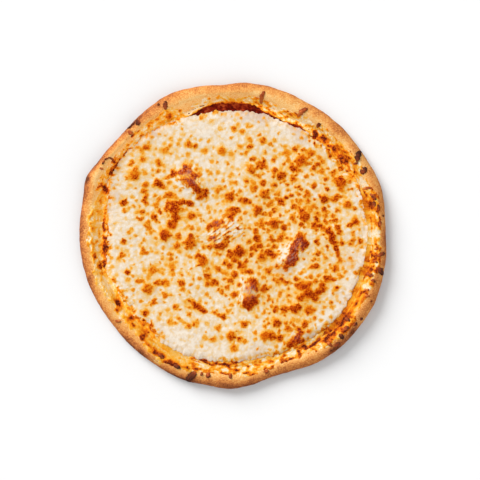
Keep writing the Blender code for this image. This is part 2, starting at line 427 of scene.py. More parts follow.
# The same for the outer wall alone; its paler stretches from 270 to 44 degrees are painted light
# on the wall that turns away from the key light
WALL_BAKE_AND_PAINTED_LIGHT = (
    (2, 10, -0.25),
    (22, 14, -0.29),
    (44, 10, -0.16),
    (62, 10, -0.08),
    (88, 12, -0.05),
    (108, 8, -0.1),
    (124, 10, -0.08),
    (155, 10, 0.1),
    (182, 14, 0.06),
    (245, 12, 0.02),
    (272, 10, -0.17),
    (290, 12, -0.03),
    (312, 12, -0.08),
    (332, 10, -0.21),
    (350, 8, -0.27),
)
print("stretches of the rim:", len(BAKE_AROUND), "and of its wall:", len(WALL_BAKE_AND_PAINTED_LIGHT))

# %% Scorched places on the dough
# Bearing, distance from the middle, size along and across in mm, amount
SCORCHED = (
    (359, 177.0, 13, 4, 0.35),
    (350, 178.0, 9, 3, 0.2),
    (158.5, 182.0, 4, 4, 0.5),
    (152, 180.0, 8, 3, 0.25),
    (131, 175.5, 12, 2.5, 0.25),
    (322, 177.0, 9, 4, 0.3),
    (312, 175.0, 14, 4, 0.25),
    (253, 173.0, 8, 5, 0.25),
    (248, 176.0, 16, 3, 0.25),
    (272, 174.0, 22, 4, 0.2),
    (196, 170.0, 4, 4, 0.15),
    (232, 172.0, 12, 3, 0.12),
    (14, 172.0, 16, 5, 0.08),
    (95, 172.0, 14, 4, 0.06),
)
print(len(SCORCHED), "scorched places on the dough")

# %% Spots along the rim
def spots_around(spots, radius, bearing):
    """Soft oval spots laid along the rim."""
    total = np.zeros_like(radius)
    for centre, distance, along, across, amount in spots:
        turn = np.radians((bearing - centre + 180.0) % 360.0 - 180.0) * radius / (along * MM)
        step = (radius - distance * MM) / (across * MM)
        total += amount * np.exp(-(turn**2) - step**2)
    return total


scorched = spots_around(SCORCHED, crust_radius, crust_bearing)
print("the darkest scorched place adds", round(float(scorched.max()), 2))

# %% [markdown]
# The photo's light is softer than any two suns and a plain white world, so the inner slope that
# turns away from the main light comes out too dark. So light is painted on to it: the painted light
# is 1 on that side, fades to 0 at its reach, and is a little less than 0 across from it, where it is
# painted shade on the slope that faces the main light.

# %% Painted light below the main light, and painted shade across from it
PAINTED_LIGHT_BEARING = 128.0
PAINTED_LIGHT_REACH = 110.0
PAINTED_SHADE_ACROSS = 0.25


def painted_light_at(radius, bearing):
    """Painted light on the rim's inner slope and the cheese's edge, painted shade below 0, else 0."""
    turn = np.abs((bearing - PAINTED_LIGHT_BEARING + 180.0) % 360.0 - 180.0)
    side = np.cos(np.radians(90.0 * turn / PAINTED_LIGHT_REACH))
    side = np.where(side > 0.0, side, PAINTED_SHADE_ACROSS * side)
    foot = foot_radius(bearing)
    place = (radius - foot) / (outline_radius(bearing) - foot)
    return side * smooth_step(place, -0.3, 0.0) * (1.0 - smooth_step(place, 0.3, 0.6))


crust_painted_light = painted_light_at(crust_radius, crust_bearing) * (crust_mark < WIDEST_MARK)
print("glow runs from", round(float(crust_painted_light.min()), 2), "to", round(float(crust_painted_light.max()), 2))

# %% Bake the dough
DARKEST_BAKE = 0.92
LUMP_BAKE = 0.25

along_marks, along_bakes = zip(*BAKE_AND_HIGHLIGHT_ALONG)
bake_and_painted_light = np.interp(crust_mark, along_marks, along_bakes)
bake_and_painted_light += lobes_at(BAKE_AROUND, crust_bearing) * (0.2 + 0.8 * smooth_step(crust_mark, 0.2, 0.5))
# The outer wall's bake, with painted light on the wall that turns away from the key light
bake_and_painted_light += lobes_at(WALL_BAKE_AND_PAINTED_LIGHT, crust_bearing) * smooth_step(crust_mark, 0.42, 0.62)
bake_and_painted_light += scorched
bake_and_painted_light += LUMP_BAKE * (lumps + dents) * on_rim * smooth_step(crust_mark, 0.1, 0.5)
# Baked colour, with the painted highlight and the painted light on the wall summed in
store(crust.data, "bake_and_painted_light", np.minimum(bake_and_painted_light, DARKEST_BAKE))
# Painted light and painted shade on the crust's inner slope, for its finish
store(crust.data, "painted_light", crust_painted_light)
print("bake runs from", round(float(bake_and_painted_light.min()), 2), "to", round(float(bake_and_painted_light.max()), 2))

# %% [markdown]
# ## The sauce
#
# Tomato sauce is a thin film on the dough's floor. The cheese hides nearly all of it, but it shows
# in a dark red crescent at the top of the photo and in hairlines elsewhere, so it laps a little way
# up the rim's foot. A flat disc would do where it is hidden, so it is turned like the dough, with
# points close together on its outer tenth alone, and its wet grain is noise.

# %% Where the sauce shows
# Between the cheese and the lace: bearing, half width, share
BARE_LOBES = (
    (95, 15, 1.3),
    (82, 4, 0.4),
    (70, 9, 0.55),
    (58, 5, 0.6),
    (50.5, 1.4, 0.6),
    (142, 4, 0.5),
    (151, 2, 0.8),
    (188, 8, 0.35),
    (265, 12, 0.3),
)


def bare_share(bearing):
    return np.clip(lobes_at(BARE_LOBES, bearing), 0.0, 1.0)


print("the sauce shows on", int((bare_share(degrees) > 0.5).sum()), "of 360 degrees")

# %% Spread the sauce
SAUCE_STEPS = 900
SAUCE_TOP = 5.9 * MM
SAUCE_UNDER = 4.8 * MM
SAUCE_FILM = 0.25 * MM
SAUCE_LAP = 1.5 * MM
SAUCE_POINTS = 26
# Heights of its fine and broad grain, in mm
GRAIN_HEIGHT = 0.35
POOL_HEIGHT = 0.25

sauce_profile = [(0.0, SAUCE_TOP, 1.0), (0.88 * FOOT_RADIUS, SAUCE_TOP, 1.0)]
for step in range(SAUCE_POINTS):
    share = 0.9 + 0.1 * step / (SAUCE_POINTS - 1)
    sauce_profile.append((share * FOOT_RADIUS, SAUCE_TOP, 1.0))
sauce_profile += [(FOOT_RADIUS * share, SAUCE_UNDER, 0.0) for share in (1.0, 0.5, 0.0)]
sauce = turned("tomato_sauce", sauce_profile, SAUCE_STEPS)
plain = points_of(sauce.data)
bearing = np.degrees(np.arctan2(plain[:, 1], plain[:, 0]))
share = np.hypot(plain[:, 0], plain[:, 1]) / FOOT_RADIUS
upper = values_of(sauce.data, "mark") > 0.5
radius = share * (foot_radius(bearing) + np.where(upper, SAUCE_LAP * bare_share(bearing), 0.0))
flat = to_frame(radius, bearing, plain[:, 2])
fine_grain = GRAIN_HEIGHT * roughness(flat, 3.0 * MM, 7.0, 3)
grain = (fine_grain + POOL_HEIGHT * roughness(flat, 9 * MM, 2.0, 2)) * MM
seen = smooth_step(radius, 0.9 * FOOT_RADIUS, 0.93 * FOOT_RADIUS)
top = np.maximum(SAUCE_TOP, dough_top(radius, bearing) + SAUCE_FILM) + grain * seen
put_points(sauce.data, to_frame(radius, bearing, np.where(upper, top, SAUCE_UNDER)))
report(sauce)

# %% [markdown]
# ## The sheet of cheese
#
# Shredded cheese melts to one sheet, and the steam under it lifts bubbles whose thin tops brown
# first. So relief and colour belong together: one field of spots raises the bubbles and is stored as
# the browning that the material reads. A square grid is eased onto a disc, which keeps its cells
# even, because a turned disc would crowd its points at the middle.

# %% A grid with a skirt and an underside
CHEESE_CELLS = 300
CHEESE_UNDER = 6.2 * MM
CHEESE_THICKNESS = 2.8 * MM
CHEESE_EDGE_THICKNESS = 0.5 * MM
CHEESE_EDGE_WIDTH = 9.0 * MM

shape = bmesh.new()
bmesh.ops.create_grid(shape, x_segments=CHEESE_CELLS, y_segments=CHEESE_CELLS, size=1.0)
rim_edges = [edge for edge in shape.edges if edge.is_boundary]
skirt = bmesh.ops.extrude_edge_only(shape, edges=rim_edges)["geom"]
skirt_points = [part for part in skirt if isinstance(part, bmesh.types.BMVert)]
bmesh.ops.translate(shape, verts=skirt_points, vec=(0, 0, -1))
open_edges = [edge for edge in shape.edges if edge.is_boundary]
bmesh.ops.holes_fill(shape, edges=open_edges, sides=0)
cheese = piece_of(shape, "melted_cheese")
print("points on the square sheet:", len(cheese.data.vertices))

# %% Ease the square onto a disc
def disc_place(square):
    """Share of the radius and bearing of each point of a square that runs from -1 to 1."""
    wide = np.abs(square[:, 0]) > np.abs(square[:, 1])
    longer = np.where(wide, square[:, 0], square[:, 1])
    shorter = np.where(wide, square[:, 1], square[:, 0])
    share = np.abs(longer)
    tilt = 45.0 * shorter / np.where(share > 0.0, longer, 1.0)
    return share, np.where(wide, tilt, 90.0 - tilt) + np.where(longer < 0.0, 180.0, 0.0)


square = points_of(cheese.data)
is_top = square[:, 2] > -0.5
share, bearing = disc_place(square)
print("bearings run from", round(float(bearing.min())), "to", round(float(bearing.max())), "degrees")

# %% [markdown]
# The cheese's edge follows its ring with a ragged line added: the melt stopped at shreds, so the
# edge has small bays and tongues a few millimetres deep. On the right the photo shows a clean white
# edge that laps on to the rim. There the cheese reaches further, and is thicker and paler.
# Part of that paleness is painted light on the edge, which falls away from the key light.

# %% Ragged edge
# Where the cheese's edge is white and clean, and gets painted light: bearing, half width, share
WHITE_AND_PAINTED_LIGHT_LOBES = (
    (22, 7, 0.7),
    (359, 12, 1.2),
    (332, 12, 0.8),
)
# Where the cheese laps on to the rim
LAP_LOBES = WHITE_AND_PAINTED_LIGHT_LOBES + ((152, 10, 0.9),)
# In mm: the ring that the noise is read on, its two depths, how far the edge may climb the rim, and
# how much further it climbs and reaches where it laps
EDGE_CIRCLE = 150.0
BAY_DEPTH = 2.6
TONGUE_DEPTH = 1.2
EDGE_CLIMB = 1.4
LAP_CLIMB = 1.2
LAP_REACH = 2.2

angle = np.radians(bearing)
circle = EDGE_CIRCLE * np.column_stack((np.cos(angle), np.sin(angle), np.zeros_like(angle)))
bays = BAY_DEPTH * roughness(circle, 9.0, 5.0, 3)
ragged = bays + TONGUE_DEPTH * roughness(circle, 3.0, 9.0, 2)
white = np.clip(lobes_at(WHITE_AND_PAINTED_LIGHT_LOBES, bearing), 0.0, 1.0)
lap = lobes_at(LAP_LOBES, bearing)
limit = foot_radius(bearing) + (EDGE_CLIMB + LAP_CLIMB * lap) * MM
cheese_edge = np.minimum(cheese_radius(bearing) + (ragged + LAP_REACH * lap) * MM, limit)
radius = share * cheese_edge
flat = to_frame(radius, bearing, np.zeros_like(radius))
from_edge = cheese_edge - radius
edge_reach = np.array((cheese_edge.min(), cheese_edge.max())) / MM
print("cheese edge, nearest and furthest in mm:", np.round(edge_reach, 1).tolist())

# %% [markdown]
# ## Where the cheese is brown
#
# The large spots are placed from the photo, in its own pixels, because their places make this
# pizza recognisable. Strokes are mostly the torn ridges of the four big blisters, and strokes with a
# negative amount are smooth pale sides. Between them, seeded chance scatters hundreds of small
# flecks, denser or sparser by listed zones.

# %% Browned spots, placed from the photo
PHOTO_SCALE = 1.1615 * MM
PHOTO_CENTRE_X = 232.9
PHOTO_CENTRE_Y = 236.5
PHOTO_WIDTH = 480
# Browned spots: x, y and radius in the photo's pixels, and how brown
SPOTS = (
    (124, 202.5, 4.0, 1.0), (143, 159, 3.6, 0.75), (142, 151, 3.6, 0.55), (148, 148, 3.8, 0.6),
    (132, 162, 2.6, 0.6), (159, 163, 4.0, 0.75), (134, 175, 6.4, 0.72), (165, 151, 3.8, 0.55),
    (158, 183, 4.0, 0.95), (162, 186, 3.2, 0.75), (146, 185, 3.2, 0.7), (144, 191, 3.6, 0.7),
    (146, 196, 2.8, 0.75), (170, 195, 4.2, 0.85), (144, 201, 2.8, 0.6), (167, 209, 3.4, 0.8),
    (160, 212, 2.8, 0.7), (175, 210, 5.8, 0.95), (176, 218, 5.0, 0.9), (172, 225, 5.2, 0.92),
    (165, 235, 5.4, 1.1), (154, 217, 3.4, 0.75), (142, 212, 3.0, 0.7), (141, 219, 3.0, 0.75),
    (149, 228, 3.2, 0.7), (191, 216, 4.4, 0.9), (191, 203, 3.3, 0.8), (179, 237, 3.4, 0.8),
    (190, 243, 5.6, 0.92), (191, 238, 3.8, 0.82), (177, 246, 3.8, 0.8), (210, 247, 3.2, 0.85),
    (251, 170, 4.6, 0.78), (262.5, 164.7, 4.4, 0.84), (259, 164.7, 3.4, 0.7), (274.5, 171, 3.4, 0.88),
    (281.5, 175.5, 4.4, 1.02), (301, 161, 5.6, 0.98), (294, 169, 4.0, 0.72), (307, 164, 2.6, 0.75),
    (313.8, 168.6, 3.0, 0.92), (317, 164.5, 3.0, 0.92), (322, 171, 3.6, 0.66), (264.5, 194.5, 5.0, 0.88),
    (281, 201.5, 4.0, 0.86), (277, 199, 2.6, 0.7), (286, 197.5, 2.8, 0.75), (294, 206.5, 3.4, 0.8),
    (245, 201.5, 4.0, 0.82), (242, 200, 2.8, 0.7), (257.5, 210.5, 4.8, 0.95), (274, 224.5, 4.6, 0.95),
    (269.5, 223.5, 3.2, 0.8), (283.5, 227.5, 3.6, 0.85), (305, 216.5, 5.2, 0.92), (302, 213, 3.2, 0.7),
    (292, 217.5, 3.2, 0.6), (324.5, 199, 4.8, 0.84), (341, 182.5, 5.6, 1.02), (335.5, 181, 3.6, 0.74),
    (340, 189, 3.6, 0.55), (337.5, 197, 3.2, 0.85), (347.5, 204.5, 4.6, 0.84), (327, 189, 3.0, 0.68),
    (314, 185, 2.8, 0.66), (307.5, 193, 3.2, 0.7), (308, 202, 3.2, 0.52), (313, 206, 3.2, 0.56),
    (323.5, 209, 3.0, 0.7), (325.5, 216, 2.8, 0.72), (318, 214, 3.2, 0.5), (316.5, 220, 3.2, 0.7),
    (335, 220.5, 2.8, 0.82), (337.5, 227.5, 3.4, 0.98), (339, 232, 2.6, 0.85), (355, 222, 4.6, 0.82),
    (350, 225, 3.0, 0.7), (329, 231, 4.0, 0.7), (332.5, 237, 4.0, 0.84), (331.5, 241, 3.0, 0.86),
    (342, 243, 3.0, 0.9), (360, 241, 2.8, 0.85), (353.5, 240, 2.4, 0.72), (316.5, 241.5, 2.6, 0.62),
    (315, 226, 2.8, 0.74), (318, 253.5, 3.2, 0.66), (325, 257, 2.6, 0.52), (316.5, 266.5, 3.2, 0.62),
    (335.5, 268.5, 4.0, 0.82), (339, 275, 2.2, 0.5), (326.5, 279.5, 3.6, 0.72), (334.5, 279, 2.4, 0.55),
    (298, 279.5, 2.8, 0.6), (282.5, 281, 2.8, 0.68), (277.5, 281, 2.4, 0.55), (255.5, 231.5, 3.4, 0.88),
    (257, 238.5, 4.0, 1.0), (261, 225, 3.4, 0.66), (254, 248, 3.6, 0.82), (260, 245, 3.2, 0.66),
    (272.5, 241, 2.8, 0.75), (280.5, 238.5, 3.6, 0.82), (268, 231.5, 2.8, 0.6), (262.5, 257, 5.2, 0.72),
    (273, 255, 4.4, 0.72), (239, 252, 5.8, 1.05), (231, 254, 4.2, 0.86), (252, 254, 2.8, 0.72),
    (242, 266, 4.4, 0.85), (234, 260, 3.6, 0.82), (230, 266.5, 3.2, 0.76), (235, 275, 3.8, 0.84),
    (230, 280, 3.2, 0.84), (250, 272, 3.2, 0.95), (226, 262, 3.2, 0.7), (268.5, 271, 2.8, 0.75),
    (274, 185, 3.2, 0.8), (262.5, 183, 3.2, 0.68), (253, 188, 3.6, 0.62), (259, 176, 3.2, 0.55),
    (254, 158.5, 3.2, 0.66), (245.5, 153.5, 2.8, 0.6), (250.5, 146.5, 3.2, 0.68), (240, 146.5, 3.4, 0.5),
    (231, 154, 3.0, 0.42), (275, 158, 3.4, 0.42), (287, 152.5, 3.6, 0.66), (295, 150, 3.6, 0.62),
    (309, 152.5, 4.4, 0.58), (319, 157.5, 3.0, 0.62), (288.5, 160.5, 3.0, 0.66), (341, 169, 2.6, 0.72),
    (332.5, 174, 3.0, 0.62), (326.5, 179, 2.8, 0.58), (350, 177, 3.0, 0.6), (231, 175, 3.0, 0.5),
    (231.5, 182.5, 2.6, 0.48), (230, 197, 5.4, 0.84), (238, 210, 3.2, 0.6), (231, 217, 3.6, 0.98),
    (265, 214, 2.8, 0.68), (270.5, 214, 2.6, 0.6), (275, 210, 3.6, 0.5), (270, 205, 3.6, 0.46),
    (293, 179.5, 3.2, 0.5), (299, 209, 2.8, 0.6), (301.5, 224.5, 2.4, 0.52), (300, 202, 3.4, 0.5),
    (291, 195, 2.6, 0.52), (298, 188, 2.4, 0.46), (246, 180, 3.2, 0.42), (219, 189, 3.4, 0.65),
    (263, 141, 3.8, 0.8), (250, 140, 3.0, 0.62), (234, 129, 3.4, 0.75), (242, 132, 3.2, 0.6),
    (248, 126, 3.0, 0.55), (222, 151, 4.8, 0.75), (205, 151, 3.6, 0.65), (195, 146, 3.0, 0.6),
    (190, 145, 3.0, 0.65), (203, 262, 5.0, 0.9), (199, 256, 3.4, 0.75), (218, 269, 3.2, 0.7),
    (208, 277, 3.8, 0.85), (214, 282, 4.2, 0.9), (207, 284, 3.4, 0.75), (182, 283, 3.8, 0.9),
    (227, 288, 3.0, 0.7), (264, 289, 4.0, 0.9), (234, 295, 3.6, 0.85), (301, 286, 4.8, 0.85),
    (308, 285, 3.8, 0.8), (301, 298, 4.2, 1.02), (308, 293, 5.4, 0.88), (314, 297, 4.2, 0.98),
    (318, 292, 3.8, 0.75), (323, 287, 4.6, 0.88), (337, 288, 3.0, 0.7), (296, 308, 5.0, 0.92),
    (284, 309, 4.2, 0.85), (276, 309, 3.6, 0.65), (309, 310, 4.8, 0.8), (277, 323, 4.4, 0.98),
    (288, 328, 3.4, 0.8), (298, 329, 3.2, 0.75), (305, 324, 4.0, 0.85), (265, 336, 4.8, 0.85),
    (272, 336, 4.4, 0.8), (280, 338, 3.6, 0.8), (244, 324, 3.8, 0.95), (231, 336, 5.0, 0.85),
    (240, 339, 3.6, 0.7), (245, 341, 2.8, 0.65), (234, 348, 4.2, 0.75), (224, 317, 3.4, 0.65),
    (204, 311, 3.2, 0.75), (196, 306, 4.8, 0.65), (189, 314, 3.0, 0.75), (176, 307, 3.4, 0.75),
    (148, 289, 5.6, 0.75), (138, 281, 3.0, 0.75), (156, 283, 3.2, 0.65), (166, 283, 4.4, 0.7),
    (165, 295, 3.4, 0.8), (154, 302, 2.8, 0.8), (146, 312, 3.4, 0.75), (128, 272, 3.2, 0.8),
    (153, 270, 4.2, 0.75), (143, 252, 3.2, 0.8), (122, 255, 3.0, 0.85), (124, 242, 3.2, 0.7),
    (128, 280, 2.6, 0.6), (172, 266, 4.4, 0.55), (171, 322, 4.0, 0.5), (196, 323, 4.2, 0.55),
    (218, 328, 3.4, 0.6), (213, 340, 3.2, 0.6), (205, 338, 3.2, 0.5), (353, 233, 2.8, 0.62),
)
print(len(SPOTS), "browned spots")

# %% Strokes and zones, placed one by one
# Torn ridges and pale sides: from x, y to x, y, the width, and the amount, less than 0 where pale
STROKES = (
    (172, 174, 184, 172, 2.6, 0.75), (180, 172, 190, 170, 2.4, 0.55), (186, 168, 196, 178, 2.4, 0.6),
    (186, 180, 192, 185, 3.6, 0.85), (192, 184, 199, 190, 3.6, 0.85), (198, 190, 200, 197, 2.6, 0.85),
    (205, 191, 206, 196, 3.0, 0.92), (193, 178, 200, 174, 2.8, 0.66), (166, 178, 174, 175, 2.4, 0.6),
    (182, 184, 197, 200, 5.0, -0.23), (175, 181, 184, 187, 3.0, -0.14), (208, 227, 216, 222, 2.8, 0.8),
    (215, 227, 222, 221, 2.6, 0.7), (209, 239, 216, 236, 2.4, 0.7), (218, 247, 224, 246, 3.2, 0.98),
    (222, 243, 230, 236, 2.0, 0.6), (228, 210, 236, 212, 2.8, 0.66), (213, 234, 236, 222, 5.0, -0.13),
    (222, 240, 238, 230, 4.0, -0.1), (219, 239, 239, 225, 1.0, 0.34), (228, 243, 243, 232, 1.0, 0.32),
    # On the two blisters at the lower right, from (300, 236) on to (243, 298), the pale strokes towards
    # the key light are partly painted light, the dark ones on the far sides partly painted shade
    (214, 232, 228, 223, 0.9, 0.3), (300, 236, 304, 243, 3.8, 1.0), (305, 244, 303, 248, 2.8, 0.95),
    (296, 242, 294, 254, 3.6, 1.15), (294, 254, 293, 262, 3.6, 1.1), (291, 262, 285, 267, 3.2, 1.05),
    (288, 262, 291, 252, 2.4, 0.85), (281, 260, 289, 248, 2.6, -0.27), (288, 247, 297, 238, 2.2, -0.25),
    (283, 247, 276, 252, 2.2, -0.2), (297, 268, 304, 276, 4.0, -0.18), (268, 252, 276, 246, 2.4, 0.6),
    (252, 281, 255, 286, 3.6, 1.05), (246, 304, 254, 299, 4.0, 1.12), (250, 307, 255, 302, 3.2, 1.0),
    (245, 299, 247, 306, 2.6, 1.0), (249.5, 287, 248, 295, 3.2, 0.42), (240, 294, 242, 280, 2.2, -0.18),
    (243, 298, 246, 294, 2.4, -0.12), (290, 344, 297, 337, 3.8, 1.0), (298, 337, 302, 333, 2.6, 0.8),
    (290, 338, 294, 334, 2.4, -0.16), (321, 226, 330, 233, 2.6, 0.66), (332, 240, 336, 249, 2.4, 0.76),
    (336, 249, 340, 260, 2.2, 0.66), (310, 340, 318, 330, 3.0, -0.18), (316, 326, 330, 312, 4.0, -0.18),
    (336, 306, 348, 288, 3.0, -0.16), (350, 284, 362, 258, 3.0, -0.14), (178, 318, 186, 324, 2.2, 0.5),
    (213, 312, 223, 317, 2.4, 0.72), (190, 300, 204, 311, 2.8, 0.6), (160, 198, 156, 206, 2.2, 0.6),
    (168, 203, 180, 203, 2.4, 0.8), (184, 202, 192, 205, 2.4, 0.8), (296, 172, 291, 168, 2.0, 0.5),
    (310, 187, 316, 196, 2.6, -0.11),
)
# Zones where flecks are denser, or with a minus sparser: x, y, radius, amount
ZONES = (
    (116, 240, 22, -0.5), (124, 285, 16, -0.35), (112, 200, 14, -0.3), (210, 352, 34, -0.45),
    (165, 335, 24, -0.3), (160, 128, 28, -0.25), (205, 122, 26, -0.35), (250, 118, 26, -0.45),
    (290, 130, 18, -0.45), (200, 165, 18, -0.25), (128, 190, 12, -0.35), (345, 275, 20, -0.3),
    (325, 318, 16, -0.45), (252, 350, 22, -0.3), (230, 170, 16, -0.2), (305, 265, 12, -0.3),
    (200, 292, 16, -0.2), (235, 312, 14, -0.2), (180, 345, 18, -0.4), (145, 178, 8, -0.2),
    (275, 225, 45, 0.3), (300, 190, 34, 0.2), (255, 180, 26, 0.15), (170, 215, 24, 0.22),
    (305, 292, 26, 0.3), (320, 220, 22, 0.22), (235, 262, 26, 0.3), (150, 150, 16, 0.15),
    (285, 300, 48, 0.35), (330, 262, 26, 0.25), (205, 150, 36, -0.15),
    (270, 270, 24, 0.2), (190, 250, 18, 0.15), (285, 316, 26, 0.3), (330, 200, 24, -0.12),
)
print(len(STROKES), "strokes and", len(ZONES), "zones")

# %% From the photo's pixels to the pizza
def photo_place(x, y):
    """A photo pixel's place in the frame."""
    right = (x - PHOTO_CENTRE_X) * PHOTO_SCALE - MIDDLE_X
    up = (PHOTO_CENTRE_Y - y) * PHOTO_SCALE - MIDDLE_Y
    return np.array((right, up))


photo_middle = photo_place(PHOTO_WIDTH / 2, PHOTO_WIDTH / 2)
print("the photo's middle lies at", np.round(photo_middle / MM, 1).tolist(), "mm")

# %% Soft places, firm spots and strokes
def bumps(places, spots):
    """Soft round places; each is (x, y, radius, amount) in the photo."""
    total = np.zeros(len(places))
    for x, y, size, amount in spots:
        away = np.linalg.norm(places - photo_place(x, y), axis=1) / (size * PHOTO_SCALE)
        total += amount * np.exp(-(away**2))
    return total


def toasted(places, spots):
    """Spots with a firm edge and a soft halo. Where they overlap, the browner one wins."""
    core = np.zeros(len(places))
    halo = np.zeros(len(places))
    for x, y, size, amount in spots:
        middle = photo_place(x, y)
        reach = 2.6 * size * PHOTO_SCALE
        close_x = np.abs(places[:, 0] - middle[0]) < reach
        near = np.flatnonzero(close_x & (np.abs(places[:, 1] - middle[1]) < reach))
        away = np.linalg.norm(places[near] - middle, axis=1) / (size * PHOTO_SCALE)
        core[near] = np.maximum(core[near], amount * np.exp(-(away**4)))
        halo[near] += amount * np.exp(-((away / 1.4) ** 2))
    return 0.88 * core + 0.08 * halo


def strokes(places, lines):
    """Firm lines from point to point."""
    total = np.zeros(len(places))
    for x0, y0, x1, y1, width, amount in lines:
        start = photo_place(x0, y0)
        run = photo_place(x1, y1) - start
        share = np.clip((places - start) @ run / (run @ run), 0.0, 1.0)
        away = np.linalg.norm(places - start - share[:, None] * run, axis=1) / (width * PHOTO_SCALE)
        total += amount * np.exp(-(away**3))
    return total


middle_zone = bumps(photo_middle[None, :], ZONES)[0]
print("the zones add at the photo's middle", round(float(middle_zone), 2))

# %% [markdown]
# The solid already has four large blisters, some browned bubbles and slow waves, so the fine skin
# repeats them by the same formulas. The blisters' tops are torn: noise that is drawn out along each
# one gives the streaks of the tears.

# %% The solid's own relief
# Large torn blisters: x, y, length, width, height in mm, and the bearing of the length
BLISTERS = (
    (-49, 61, 40, 20, 3.2, -39),
    (-8, 4, 46, 28, 2.4, 35),
    (68, -19, 44, 22, 3.8, 54),
    (19, -66, 36, 20, 3.4, 77),
)
# Browned bubbles: x, y, radius, height in mm
BUBBLES = (
    (-114, 73, 8, 1.2), (-87, 62, 5, 1.0), (-67, 30, 9, 1.6), (-79, -1, 8, 2.0), (-50, -8, 9, 1.5),
    (6, -18, 9, 1.8), (21, 77, 7, 1.3), (52, 73, 8, 1.4), (80, 87, 8, 1.6), (36, 48, 6, 1.4),
    (29, 30, 6, 1.2), (48, 15, 7, 1.5), (85, 24, 7, 1.3), (-13, 99, 7, 1.2), (127, 63, 7, 1.6),
    (106, 44, 7, 1.2), (134, 37, 7, 1.2), (115, 2, 9, 1.5), (34, -24, 8, 1.2), (-35, -30, 8, 1.3),
    (86, -66, 12, 2.0), (73, -83, 7, 1.3), (51, -100, 5, 1.4), (38, -116, 9, 1.4), (-2, -114, 6, 1.2),
    (-100, -61, 8, 1.2),
)


def cheese_relief(x, y):
    """The form that the solid has: blisters, bubbles and slow waves, in mm."""
    total = 0.35 * np.sin(x / 11.0 + 0.6 * np.sin(y / 17.0))
    total += 0.3 * np.sin(y / 9.0 + 0.8 * np.sin(x / 14.0) + 1.0)
    for middle_x, middle_y, length, width, height, turn in BLISTERS:
        angle = math.radians(turn)
        east = x - middle_x
        north = y - middle_y
        along = (east * math.cos(angle) + north * math.sin(angle)) / (0.5 * length)
        across = (north * math.cos(angle) - east * math.sin(angle)) / (0.5 * width)
        total += height * np.exp(-(along**4) - across**2)
    for middle_x, middle_y, size, height in BUBBLES:
        away = np.hypot(x - middle_x, y - middle_y) / size
        total += height * np.exp(-(away**2))
    return total


x_mm = flat[:, 0] / MM
y_mm = flat[:, 1] / MM
relief = cheese_relief(x_mm, y_mm)
print("relief runs from", round(float(relief.min()), 1), "to", round(float(relief.max()), 1), "mm")

# %% Streaks on the torn blisters
STREAK_LENGTH = 6.0
STREAK_WIDTH = 1.9


def streaks_on_blisters(x, y):
    """Noise drawn out along each blister, and nothing elsewhere."""
    total = np.zeros_like(x)
    for middle_x, middle_y, length, width, _, turn in BLISTERS:
        angle = math.radians(turn)
        east = x - middle_x
        north = y - middle_y
        along = east * math.cos(angle) + north * math.sin(angle)
        across = north * math.cos(angle) - east * math.sin(angle)
        drawn = np.column_stack((along / STREAK_LENGTH, across / STREAK_WIDTH, np.zeros_like(x)))
        share = np.exp(-((along / (0.5 * length)) ** 4) - (across / (0.55 * width)) ** 2)
        total += share * roughness(drawn, 1.0, middle_x, 3)
    return total


tears = streaks_on_blisters(x_mm, y_mm)
print("tears run from", round(float(tears.min()), 2), "to", round(float(tears.max()), 2))

# %% Scatter the small flecks
# One chance for each cell of a grid; steps and sizes are in the photo's pixels
FLECK_STEP = 5.6
FLECK_FIRST = 95
FLECK_LAST = 370
FLECK_SEED = 12
FLECK_SIZES = (1.2, 2.6)
FLECK_AMOUNTS = (0.1, 0.8)
FLECK_CHANCE = 0.74
chance = random.Random(FLECK_SEED)
cells = np.arange(FLECK_FIRST, FLECK_LAST, FLECK_STEP)
flecks = []
for cell_x in cells:
    for cell_y in cells:
        x = cell_x + chance.uniform(-0.5, 0.5) * FLECK_STEP
        y = cell_y + chance.uniform(-0.5, 0.5) * FLECK_STEP
        zone = float(bumps(photo_place(x, y)[None, :], ZONES)[0])
        size = chance.uniform(*FLECK_SIZES)
        amount = chance.uniform(*FLECK_AMOUNTS) + 0.25 * min(zone, 0.4)
        if chance.random() < FLECK_CHANCE + 0.7 * zone:
            flecks.append((x, y, size, amount))
print(len(flecks), "small flecks")

# %% Warped places, clouds and mottle
WARP = 1.6 * MM
TORN_WARP = 1.4 * MM

warp_east = roughness(flat, 5.0 * MM, 31.0, 2)
warp_north = roughness(flat, 5.0 * MM, 47.0, 2)
mottle_east = roughness(flat, 2.4 * MM, 13.0, 2)
mottle_north = roughness(flat, 2.4 * MM, 17.0, 2)
warped = flat[:, :2] + WARP * np.column_stack((warp_east, warp_north))
torn = warped + TORN_WARP * np.column_stack((mottle_east, mottle_north))
clouds = roughness(flat, 14 * MM, 61.0, 2)
mottle = roughness(flat, 4.4 * MM, 91.0, 3)
print("places move by up to", round(float(np.abs(warped - flat[:, :2]).max()) / MM, 1), "mm")

# %% Heat on the cheese
# Where the cheese's own edge is fried: bearing, half width, share
FRINGE_LOBES = (
    (4, 7, 0.5),
    (17, 8, 0.9),
    (43, 13, 1.0),
    (117, 3, 1.0),
    (151, 4, 0.6),
    (161, 5, 0.8),
    (180, 10, 0.9),
    (208, 14, 0.6),
    (227, 7, 1.0),
    (268, 8, 0.5),
    (288, 10, 0.6),
    (303, 4, 1.0),
    (316, 6, 0.9),
    (334, 6, 0.4),
    (347, 7, 0.8),
)
FLECK_HEAT = 0.95
CLOUD_HEAT = 0.05
ZONE_HEAT = 0.08
MOTTLE_HEAT = 0.17
TEAR_HEAT = 0.8
FRINGE_HEAT = 0.9
PALE_EDGE_HEAT = -0.25
HOLLOW_HEAT = -0.03

